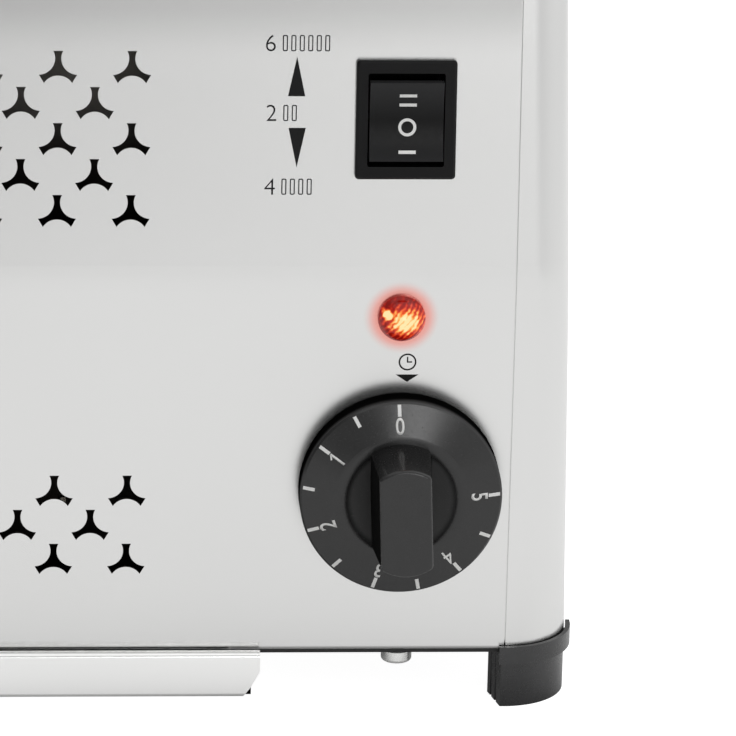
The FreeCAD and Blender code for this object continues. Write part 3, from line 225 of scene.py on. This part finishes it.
def tint_over(material, share, code):
    """Mixes a colour into a surface's own wherever share is above nothing."""
    base = material.node_tree.nodes["shader"].inputs["Base Color"]
    mixed = add(material, "MixRGB", {"Fac": share, "Color1": base.links[0].from_socket,
                                     "Color2": colour(code)})
    material.node_tree.links.new(mixed.outputs["Color"], base)


# The real scratches are about 0.05 mm apart; they are drawn 0.4 mm apart and 40 mm long so that they show.
steel_tones = ("#d9d9d8", "#dbdbda")
steel_roughness = (0.262, 0.27)
scratch_depth = 0.00002
upright_grain = (0.4, 0.4, 40.0)
panel_steel = surface("satin_stainless_front", steel_tones, steel_roughness, upright_grain, metallic=1.0,
                      cloud=90.0, bump=scratch_depth)
rear_steel = surface("satin_stainless_rear", steel_tones, steel_roughness, upright_grain, metallic=1.0,
                     cloud=90.0, bump=scratch_depth)
top_steel = surface("satin_stainless_top", steel_tones, steel_roughness, (0.4, 40.0, 0.4), metallic=1.0,
                    cloud=90.0, bump=scratch_depth)
repaint(panel_steel, "front_panel")
repaint(rear_steel, "rear_panel")
repaint(top_steel, "top_panel")

# The lamp's light on the steel round it is drawn as a red tint, from the lens's edge to about 4 mm past it.
lamp_low, lamp_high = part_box("lamp_lens")
lamp_middle = (lamp_low + lamp_high) / 2
panel_at_lamp = (lamp_middle.x, -0.0922, lamp_middle.z)
panel_where = panel_steel.node_tree.nodes["where"].outputs["Object"]
from_lamp = add(panel_steel, "VectorMath", {0: panel_where, 1: panel_at_lamp}, operation="DISTANCE")
glow = add(panel_steel, "MapRange", {"Value": from_lamp.outputs["Value"], "From Min": 0.0056,
                                     "From Max": 0.0105, "To Min": 1.0, "To Max": 0.0},
           interpolation_type="SMOOTHERSTEP")
tint_over(panel_steel, glow.outputs["Result"], "#e9a095")

# The photograph's steel mirrors something dark along the front's upper edge. A grey tint stands for that.
panel_axes = add(panel_steel, "SeparateXYZ", {"Vector": panel_where})
near_top = add(panel_steel, "MapRange", {"Value": panel_axes.outputs["Z"], "From Min": 0.174,
                                         "From Max": 0.192}, interpolation_type="SMOOTHSTEP")
near_front = add(panel_steel, "MapRange", {"Value": panel_axes.outputs["Y"], "From Min": -0.084,
                                           "From Max": -0.070, "To Min": 1.0, "To Max": 0.0},
                 interpolation_type="SMOOTHSTEP")
upper_edge = add(panel_steel, "Math", {0: near_top.outputs["Result"], 1: near_front.outputs["Result"]},
                 operation="MULTIPLY")
tint_over(panel_steel, upper_edge.outputs[0], "#c0c0bf")


# Legends on the front panel: numerals, slices and pointers in black enamel ink, screen-printed and baked.
# The ink is opaque and matt, and stands a few hundredths of a millimetre proud of the steel.
def stand_up(shape, width, height, place, turned):
    """Gives a flat shape its size and place, facing the front; turned is clockwise as seen from there."""
    in_front = -0.2
    bpy.ops.object.origin_set(type="ORIGIN_GEOMETRY", center="BOUNDS")
    shape.scale = (width / shape.dimensions.x, height / shape.dimensions.y, 1.0)
    shape.rotation_euler = (math.pi / 2, turned, 0.0)
    shape.location = (place[0], in_front, place[1])
    bpy.ops.object.transform_apply(location=True, rotation=True, scale=True)
    return shape


def flat_shape(sides, width, height, place, turned=0.0, rounding=0.0, stroke=0.0):
    """A flat figure with so many sides; with a stroke it is an outline of that width."""
    bpy.ops.object.select_all(action="DESELECT")
    if sides == 4:
        bpy.ops.mesh.primitive_plane_add(size=1.0)
    else:
        bpy.ops.mesh.primitive_circle_add(vertices=sides, radius=0.5, fill_type="NGON")
    shape = bpy.context.object
    shape.scale = (width / shape.dimensions.x, height / shape.dimensions.y, 1.0)
    bpy.ops.object.transform_apply(location=False, rotation=False, scale=True)
    bpy.ops.object.mode_set(mode="EDIT")
    bpy.ops.mesh.select_all(action="SELECT")
    if rounding:
        bpy.ops.mesh.bevel(offset=rounding, segments=4, affect="VERTICES")
        bpy.ops.mesh.select_all(action="SELECT")
    if stroke:
        bpy.ops.mesh.inset(thickness=stroke)
        bpy.ops.mesh.delete(type="FACE")
    bpy.ops.object.mode_set(mode="OBJECT")
    return stand_up(shape, width, height, place, turned)


def flat_numeral(text, height, place, turned=0.0, narrow=1.0, bolder=0.0):
    """A numeral as a flat mesh; narrow squeezes its width, and bolder widens its strokes."""
    bpy.ops.object.select_all(action="DESELECT")
    bpy.ops.object.text_add()
    bpy.context.object.data.body = text
    bpy.context.object.data.offset = bolder
    bpy.ops.object.convert(target="MESH")
    numeral = bpy.context.object
    width = height * narrow * numeral.dimensions.x / numeral.dimensions.y
    return stand_up(numeral, width, height, place, turned)


def copy_to(shape, move):
    """A copy of a flat shape, with a mesh of its own, moved or turned by a matrix."""
    copy = shape.copy()
    copy.data = shape.data.copy()
    copy.data.transform(move)
    bpy.context.collection.objects.link(copy)
    return copy


def lay_on(shapes, name, carrier, ink):
    """Joins flat shapes, lays them on the node that carries them and gives them the ink's thickness."""
    ink_thickness = 0.00004
    bpy.ops.object.select_all(action="DESELECT")
    for shape in shapes:
        shape.select_set(True)
    bpy.context.view_layer.objects.active = shapes[0]
    bpy.ops.object.join()
    printed = bpy.context.object
    printed.name = name
    printed.data.name = name
    lay = printed.modifiers.new("lay", "SHRINKWRAP")
    lay.target = nodes[carrier]
    lay.wrap_method = "PROJECT"
    lay.use_project_y = True
    lay.use_positive_direction = True
    bpy.ops.object.modifier_apply(modifier="lay")
    build = printed.modifiers.new("build", "SOLIDIFY")
    build.thickness = ink_thickness
    build.offset = 1.0
    bpy.ops.object.modifier_apply(modifier="build")
    printed.data.materials.clear()
    printed.data.materials.append(ink)
    return printed


# Beside the switch: each of its three positions has a numeral, 6, 2 or 4, with as many outlined slices,
# and two tall pointers stand between them.
black_ink = surface("baked_black_ink", ("#0c0c0d", "#111112"), (0.5, 0.62), (0.3, 0.3, 0.3), cloud=4.0,
                    bump=0.002, Specular_IOR_Level=0.2)
numeral_height = 0.0042
slice_gap = 0.00215
slice_outline = flat_shape(4, 0.0013, numeral_height, (0.0, 0.0), rounding=0.0004, stroke=0.0003)
legend = []
for count, height in ((6, 0.17910), (2, 0.16104), (4, 0.14190)):
    left = 0.15675 + 0.0002 * (3 - count / 2)
    first_slice = left + 0.0051
    legend.append(flat_numeral(str(count), numeral_height, (left + 0.00145, height), bolder=-0.012))
    for place in range(count):
        along = Matrix.Translation((first_slice + place * slice_gap, 0.0, height))
        legend.append(copy_to(slice_outline, along))
legend.append(flat_shape(3, 0.0044, 0.01024, (0.16493, 0.17050)))
legend.append(flat_shape(3, 0.0044, 0.01030, (0.16520, 0.15203), turned=math.pi))
bpy.data.objects.remove(slice_outline)
switch_legend = lay_on(legend, "switch_legend", "front_panel", black_ink)
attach(switch_legend, "chassis")

# Over the knob: a clock face with its two hands, and the pointer that the scale is read against.
clock = (0.19466, 0.09531)
hand_width = 0.00036
dial_legend = [flat_shape(40, 0.0046, 0.0046, clock, stroke=0.00042),
               flat_shape(4, hand_width, 0.0015, (clock[0], clock[1] + 0.00066)),
               flat_shape(4, 0.0013, hand_width, (clock[0] + 0.00052, clock[1])),
               flat_shape(3, 0.0059, 0.0020, (0.19462, 0.09091), turned=math.pi)]
timer_legend = lay_on(dial_legend, "timer_legend", "front_panel", black_ink)
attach(timer_legend, "chassis")


# End caps: the same satin stainless steel, pressed in one piece with rounded corners, and screwed to the base.
# Their grain is drawn a little shorter than the panels'.
cap_steel = surface("pressed_satin_stainless", steel_tones, steel_roughness, (0.4, 0.4, 30.0), metallic=1.0,
                    cloud=70.0, bump=scratch_depth)
repaint(cap_steel, "right_end_cap", "left_end_cap")


# Crumb tray: stainless steel sheet folded into a shallow pan, with a lip turned down in front to pull it by.
# Its tones are lighter than the casing's, as painted light for the brighter light on it. The grain runs along
# the lip.
tray_steel = surface("satin_stainless_tray", ("#ececeb", "#efefee"), (0.25, 0.26), (40.0, 0.4, 0.4),
                     metallic=1.0, cloud=60.0, bump=scratch_depth)
repaint(tray_steel, "crumb_tray")

# The hem under the lip is open at both ends, and the shade inside each end is painted near black on the steel.
lip_front = 0.00085
hem_rise = 0.0031
hem_notch = 0.0048
tray_low, tray_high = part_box("crumb_tray")
tray_half = (tray_high.x - tray_low.x) / 2
hem_corner = (tray_low.x + tray_half, tray_low.y + lip_front, tray_low.z + hem_rise)
hem_offset = add(tray_steel, "VectorMath", {0: tray_steel.node_tree.nodes["where"].outputs["Object"],
                                            1: hem_corner}, operation="SUBTRACT")
hem_axes = add(tray_steel, "SeparateXYZ", {"Vector": hem_offset.outputs[0]})
hem_aside = add(tray_steel, "Math", {0: hem_axes.outputs["X"]}, operation="ABSOLUTE")
hem_end = add(tray_steel, "Math", {0: hem_aside.outputs[0], 1: tray_half - hem_notch},
              operation="GREATER_THAN")
hem_behind = add(tray_steel, "Math", {0: hem_axes.outputs["Y"], 1: 0.0}, operation="GREATER_THAN")
hem_under = add(tray_steel, "Math", {0: hem_axes.outputs["Z"], 1: 0.0}, operation="LESS_THAN")
hem_inside = add(tray_steel, "Math", {0: hem_behind.outputs[0], 1: hem_under.outputs[0]},
                 operation="MULTIPLY")
hem_painted_shade = add(tray_steel, "Math", {0: hem_end.outputs[0], 1: hem_inside.outputs[0]}, operation="MULTIPLY")
tint_over(tray_steel, hem_painted_shade.outputs[0], "#0c0b0a")


# Base plate: steel sheet in a black powder coat, screwed up under the casing. Only its dark edge shows
# from the front; the baked powder has a fine orange-peel surface.
powder_coat = surface("black_powder_coat", ("#0d0d0d", "#131313"), (0.5, 0.62), (1.2, 1.2, 1.2), cloud=8.0,
                      bump=0.01)
repaint(powder_coat, "base_plate")


# Tray rails, chamber walls, lift parts and brackets: zinc-coated steel sheet, cut and folded.
# The coating sets in flat crystals a few millimetres wide, each a slightly different grey.
zinc_sheet = surface("zinc_coated_sheet", ("#9ea2a4", "#b9bdbe"), (0.36, 0.5), (1.5, 1.5, 1.5),
                     metallic=1.0, cloud=7.0, bump=0.001, cells=True)
repaint(zinc_sheet, "tray_rail_right", "tray_rail_left", "chamber_wall_right", "chamber_wall_left",
        "guide_bracket", "timer_mounting_plate", "lift_carriage", "lever_arm")


# Heat shields: the same zinc-coated sheet, one behind each panel, in a darker grey that is partly the dulling
# heat gives it and partly painted shade for the vents in front of it. Their lower part is painted darker still,
# as the shade deep in the lower vents.
dulled_and_shaded_sheet = surface("heat_dulled_and_shaded_zinc_sheet", ("#908d89", "#a29e98"), (0.45, 0.6), (1.5, 1.5, 1.5),
                       metallic=0.9, cloud=30.0, bump=0.002)
shield_axes = add(dulled_and_shaded_sheet, "SeparateXYZ",
                  {"Vector": dulled_and_shaded_sheet.node_tree.nodes["where"].outputs["Object"]})
shield_painted_shade = add(dulled_and_shaded_sheet, "MapRange", {"Value": shield_axes.outputs["Z"], "From Min": 0.140,
                                            "From Max": 0.165, "To Min": 1.0, "To Max": 0.0},
                 interpolation_type="SMOOTHSTEP")
tint_over(dulled_and_shaded_sheet, shield_painted_shade.outputs["Result"], "#3a3632")
repaint(dulled_and_shaded_sheet, "heat_shield_front", "heat_shield_rear")


# Screws, the guide rods, the timer's bell and its shaft: turned or headed steel with faint tool marks. The
# casing screws' plating is painted near white, as painted light for the light on their heads, and the rest have
# nickel.
screw_plating_painted_light = surface("plated_steel_painted_light", ("#f0f0ee", "#f9f9f7"), (0.22, 0.32), (0.25, 0.25, 0.25),
                      metallic=0.8, cloud=6.0, bump=0.001)
repaint(screw_plating_painted_light, "casing_screws")
nickel_plating = surface("nickel_plated_steel", ("#c6c5c1", "#d9d8d4"), (0.16, 0.26), (0.25, 0.25, 0.25),
                         metallic=1.0, cloud=6.0, bump=0.001)
repaint(nickel_plating, "foot_screws", "guide_rods", "timer_bell", "timer_shaft", "timer_screws")


# Feet: moulded black rubber caps that wrap the casing's lower corners, each held by one screw from below.
# Smooth dark rubber with a low gloss and a faint bloom.
foot_rubber = surface("moulded_black_rubber", ("#1c1c1d", "#242425"), (0.24, 0.32), (2.5, 2.5, 2.5),
                      cloud=9.0, bump=0.002, Specular_IOR_Level=0.7)
repaint(foot_rubber, "foot_front_right", "foot_front_left", "foot_rear_right", "foot_rear_left")


# Heating boards: sheets of pressed mica flakes, brown and pearly, wound with flat nickel-chrome ribbon
# that heat has dulled, and joined by brass strips that have yellowed. The bushes and terminals are brass too.
mica = surface("pressed_mica_board", ("#8d7a5c", "#b3a281"), (0.3, 0.5), (0.8, 0.8, 0.8), cloud=3.5,
               bump=0.01, cells=True, Sheen_Weight=0.15)
ribbon = surface("oxidised_nickel_chrome", ("#6b665b", "#8c8678"), (0.38, 0.52), (0.5, 0.5, 4.0),
                 metallic=0.9, cloud=25.0, bump=0.002)
brass = surface("rolled_brass_strip", ("#a98746", "#cba964"), (0.26, 0.4), (6.0, 0.3, 0.3), metallic=1.0,
                cloud=12.0, bump=0.001)
repaint(mica, "mica_boards")
repaint(ribbon, "heating_windings")
repaint(brass, "bus_bars", "carriage_bushes", "switch_terminals")


# Bread guards and racks: drawn steel wire and strip, welded at every crossing and nickel plated.
# Heat has turned the plating straw-coloured in places.
guard_plating = surface("heat_tinted_nickel_wire", ("#a99c86", "#cccac5"), (0.2, 0.34), (0.4, 0.4, 8.0),
                        metallic=1.0, cloud=45.0, bump=0.001)
rack_plating = surface("nickel_plated_rack", ("#b6ad9d", "#cfcdc9"), (0.2, 0.32), (0.4, 8.0, 0.4),
                       metallic=1.0, cloud=50.0, bump=0.001)
for bay in "123456":
    repaint(guard_plating, "bread_guard_" + bay)
    repaint(rack_plating, "bread_rack_" + bay)


# Lift handle: black phenolic resin, moulded in one block and screwed on the lever.
# It has a deep, slightly wavy gloss.
phenolic = surface("moulded_black_phenolic", ("#121211", "#1a1918"), (0.18, 0.28), (2.5, 2.5, 2.5),
                   cloud=14.0, bump=0.004)
repaint(phenolic, "lever_handle")


# Timer knob: satin black plastic moulded with a fine eroded texture, turning on the timer's shaft.
# Painted light and shade stand for how the light falls on it: the dish beside the grip is painted lighter,
# the sides of the grip and the rim are shaded copies in a duller black, and the rim's front edge is painted
# greyer.
eroded_grain = (0.45, 0.45, 0.45)
knob_low, knob_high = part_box("timer_knob")
knob_axis = Vector(((knob_low.x + knob_high.x) / 2, 0.0, (knob_low.z + knob_high.z) / 2))
knob_plastic = surface("eroded_black_moulding", ("#171717", "#1c1c1c"), (0.2, 0.28), eroded_grain,
                       cloud=3.0, bump=0.006, Specular_IOR_Level=0.55)
knob_where = knob_plastic.node_tree.nodes["where"].outputs["Object"]
knob_spoke = add(knob_plastic, "VectorMath", {0: knob_where, 1: knob_axis}, operation="SUBTRACT")
knob_flat = add(knob_plastic, "VectorMath", {0: knob_spoke.outputs[0], 1: (1.0, 0.0, 1.0)},
                operation="MULTIPLY")
knob_radius = add(knob_plastic, "VectorMath", {0: knob_flat.outputs[0]}, operation="LENGTH")
dish = add(knob_plastic, "MapRange", {"Value": knob_radius.outputs["Value"], "From Min": 0.0125,
                                      "From Max": 0.0145, "To Min": 1.0, "To Max": 0.0},
           interpolation_type="SMOOTHSTEP")
knob_aside = add(knob_plastic, "SeparateXYZ", {"Vector": knob_flat.outputs[0]})
grip_side = add(knob_plastic, "Math", {0: knob_aside.outputs["X"]}, operation="ABSOLUTE")
past_grip = add(knob_plastic, "MapRange", {"Value": grip_side.outputs[0], "From Min": 0.0072,
                                           "From Max": 0.0078})
dish_painted_light = add(knob_plastic, "Math", {0: dish.outputs["Result"], 1: past_grip.outputs["Result"]},
                  operation="MULTIPLY")
# Painted light: the dish beside the grip is tinted a lighter grey.
tint_over(knob_plastic, dish_painted_light.outputs[0], "#525252")

# Painted shade: the rim's side is a darker, duller copy of the knob's black.
rim_painted_shade = surface("black_moulding_painted_shade_rim", ("#050505", "#080808"), (0.6, 0.7), eroded_grain, cloud=3.0,
                      Specular_IOR_Level=0.0)
rim_axes = add(rim_painted_shade, "SeparateXYZ",
               {"Vector": rim_painted_shade.node_tree.nodes["where"].outputs["Object"]})
# Painted light: the rim's front edge is tinted greyer.
rim_edge_painted_light = add(rim_painted_shade, "MapRange", {"Value": rim_axes.outputs["Y"], "From Min": -0.0997,
                                         "From Max": -0.0970, "To Min": 1.0, "To Max": 0.0},
               interpolation_type="SMOOTHSTEP")
tint_over(rim_painted_shade, rim_edge_painted_light.outputs["Result"], "#444444")
# Painted shade: the grip's sides are a darker, duller copy of the knob's black.
grip_painted_shade = surface("black_moulding_painted_shade_grip", ("#181818", "#1d1d1d"), (0.6, 0.7), eroded_grain, cloud=3.0,
                       Specular_IOR_Level=0.0)

knob = nodes["timer_knob"]
repaint(knob_plastic, "timer_knob")
knob.data.materials.append(rim_painted_shade)
knob.data.materials.append(grip_painted_shade)
rim_inside = 0.02598
grip_reach = 0.009
grip_front = -0.1185
grip_steepness = 0.93
for face in knob.data.polygons:
    aside = abs(face.center.x - knob_axis.x)
    if math.hypot(aside, face.center.z - knob_axis.z) > rim_inside:
        face.material_index = 1
    elif aside < grip_reach and face.center.y > grip_front and abs(face.normal.x) > grip_steepness:
        face.material_index = 2

# Scale on the knob: eleven ticks 27 degrees apart and the numerals 0 to 5, pad-printed in white,
# with the tops of the numerals outward. The knob stands at nought, a little to the left of the pointer.
# The 4 keeps thinner strokes so that its eye stays open, and the 1 has its flag drawn longer.
white_ink = surface("white_pad_print", ("#efefed", "#f8f8f6"), (0.45, 0.55), (0.3, 0.3, 0.3), cloud=4.0,
                    bump=0.002)
rest_turn = 2.5
tick_step = 27.0
tick_radius = 0.0240
numeral_radius = 0.0201
tick_mark = flat_shape(4, 0.0009, 0.0030, (0.0, tick_radius))
scale_marks = []
for tick in range(11):
    turn_angle = math.radians(rest_turn + tick_step * tick)
    tick_turn = Matrix.Translation(knob_axis) @ Matrix.Rotation(-turn_angle, 4, "Y")
    scale_marks.append(copy_to(tick_mark, tick_turn))
    outward = Vector((-math.sin(turn_angle), math.cos(turn_angle)))
    leftward = Vector((-outward.y, outward.x))
    numeral_middle = knob_axis.xz + outward * numeral_radius
    if tick % 2 == 0:
        bolder = 0.0 if tick == 8 else 0.012
        scale_marks.append(flat_numeral(str(tick // 2), 0.0043, numeral_middle, turned=-turn_angle,
                                        narrow=0.8, bolder=bolder))
    if tick == 2:
        flag_middle = numeral_middle + outward * 0.00155 + leftward * 0.00055
        flag_turn = math.radians(48.0) - turn_angle
        scale_marks.append(flat_shape(4, 0.0004, 0.0015, flag_middle, turned=flag_turn))
bpy.data.objects.remove(tick_mark)
knob_scale = lay_on(scale_marks, "knob_scale", "timer_knob", white_ink)
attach(knob_scale, "timer_dial")


# Timer case behind the panel, the lamp's body and nut, and the cable gland and its nut: dark nylon.
# All are moulded with a plain matt face.
dark_nylon = surface("moulded_dark_nylon", ("#17171a", "#1f1f21"), (0.38, 0.5), (0.5, 0.5, 0.5), cloud=8.0,
                     bump=0.006)
repaint(dark_nylon, "timer_case", "lamp_body", "lamp_nut", "cable_gland", "gland_nut")


# Rocker switch: black polycarbonate, a satin frame snapped into the panel and a glossy key that tips three ways.
# A grey tint stands for the light on the key's two ends in the photograph. The marks are filled in white:
# two bars, a ring for off, and one bar.
switch_plastic = surface("polished_black_polycarbonate", ("#060607", "#090909"), (0.3, 0.38),
                         (1.2, 1.2, 1.2), cloud=10.0, bump=0.002, Specular_IOR_Level=0.16)
frame_plastic = surface("satin_black_polycarbonate", ("#0a0a0b", "#0d0d0e"), (0.3, 0.4), (0.6, 0.6, 0.6),
                        cloud=10.0, bump=0.003, Specular_IOR_Level=0.16)
repaint(switch_plastic, "rocker")
repaint(frame_plastic, "rocker_housing")
ring_height = 0.1582
key_axes = add(switch_plastic, "SeparateXYZ",
               {"Vector": switch_plastic.node_tree.nodes["where"].outputs["Object"]})
from_ring = add(switch_plastic, "Math", {0: key_axes.outputs["Z"], 1: ring_height}, operation="SUBTRACT")
key_reach = add(switch_plastic, "Math", {0: from_ring.outputs[0]}, operation="ABSOLUTE")
key_ends = add(switch_plastic, "MapRange", {"Value": key_reach.outputs[0], "From Min": 0.002,
                                            "From Max": 0.011})
tint_over(switch_plastic, key_ends.outputs["Result"], "#2e2e2f")

key_low, key_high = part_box("rocker")
bar_middle = (key_low.x + key_high.x) / 2 + 0.0003
upper_bar = flat_shape(4, 0.0044, 0.0008, (bar_middle, 0.16655))
key_marks = [upper_bar,
             copy_to(upper_bar, Matrix.Translation((0.0, 0.0, -0.0025))),
             flat_shape(40, 0.0046, 0.0046, (bar_middle - 0.0001, ring_height), stroke=0.00075),
             copy_to(upper_bar, Matrix.Translation((-0.0001, 0.0, -0.0145)))]
rocker_marks = lay_on(key_marks, "rocker_marks", "rocker", white_ink)
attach(rocker_marks, "rocker_key")


# Lamp: a red acrylic lens over a small neon bulb that is lit. The moulded pattern inside the lens breaks the
# light into streaks and sparks, yellow where the bulb stands and deep red towards the edge.
lens = surface("lit_red_acrylic", ("#5a0a06", "#7a100a"), (0.04, 0.08), (1.0, 1.0, 1.0), cloud=2.0,
               Coat_Weight=0.1, Coat_Roughness=0.05, IOR=1.49, Specular_IOR_Level=0.25)
lens_where = lens.node_tree.nodes["where"].outputs["Object"]


def light_spot(aside, near, far, widths=(1.0, 0.0, 1.0)):
    """One at a point aside of the lens's middle and nothing at the far radius, as seen from the front."""
    offset = add(lens, "VectorMath", {0: lens_where, 1: lamp_middle + Vector(aside)}, operation="SUBTRACT")
    flat = add(lens, "VectorMath", {0: offset.outputs[0], 1: widths}, operation="MULTIPLY")
    radius = add(lens, "VectorMath", {0: flat.outputs[0]}, operation="LENGTH")
    return add(lens, "MapRange", {"Value": radius.outputs["Value"], "From Min": near, "From Max": far,
                                  "To Min": 1.0, "To Max": 0.0}).outputs["Result"]


bulb_heat = light_spot((0.0008, 0.0, 0.0003), 0.0014, 0.0057, widths=(0.8, 0.0, 1.05))
# Painted highlight: a small pale spot up to the left of the middle stands for a lamp's reflection on the lens.
painted_highlight_spot = light_spot((-0.0041, 0.0, 0.0021), 0.0005, 0.0016)
slanted = add(lens, "Mapping", {"Vector": lens_where, "Rotation": (0.0, math.radians(52.0), 0.0)})
streaks = add(lens, "TexWave", {"Vector": slanted.outputs["Vector"], "Scale": 250.0, "Distortion": 4.0,
                                "Detail": 2.0, "Detail Scale": 2.0}, bands_direction="Z")
ribs = add(lens, "MapRange", {"Value": streaks.outputs["Fac"], "To Min": -0.16, "To Max": 0.14})
sparks = add(lens, "TexVoronoi", {"Vector": lens_where, "Scale": 800.0})
spark_share = add(lens, "MapRange", {"Value": sparks.outputs["Distance"], "From Min": 0.1,
                                     "From Max": 0.6, "To Min": 0.14, "To Max": -0.1})
ribbed = add(lens, "Math", {0: bulb_heat, 1: ribs.outputs["Result"]}, operation="ADD")
broken = add(lens, "Math", {0: ribbed.outputs[0], 1: spark_share.outputs["Result"]}, operation="ADD")
light = add(lens, "Math", {0: broken.outputs[0], 1: painted_highlight_spot}, operation="ADD")
fire = stops(add(lens, "ValToRGB", {"Fac": light.outputs[0]}),
             (0.0, colour("#6a0905")), (0.2, colour("#8e130a")), (0.38, colour("#c8351d")),
             (0.55, colour("#f0682d")), (0.7, colour("#ffb85c")), (0.86, colour("#fff0b0")))
lens_shader = lens.node_tree.nodes["shader"]
lens.node_tree.links.new(fire, lens_shader.inputs["Emission Color"])
lens_shader.inputs["Emission Strength"].default_value = 0.92
repaint(lens, "lamp_lens")


# Supply entry inside the rear wall: an ivory nylon terminal block and six wires in brick-red glass-fibre
# sleeving, woven so fine that only a dull ribbing shows.
ivory_nylon = surface("moulded_ivory_nylon", ("#cfc9b9", "#dad5c7"), (0.35, 0.45), (0.6, 0.6, 0.6),
                      cloud=10.0, bump=0.004)
repaint(ivory_nylon, "terminal_block")
glass_sleeve = surface("woven_glass_sleeving", ("#a9523f", "#c4664f"), (0.6, 0.75), (0.5, 0.5, 0.5),
                       cloud=1.2, bump=0.04, cells=True)
repaint(glass_sleeve, "internal_wires")
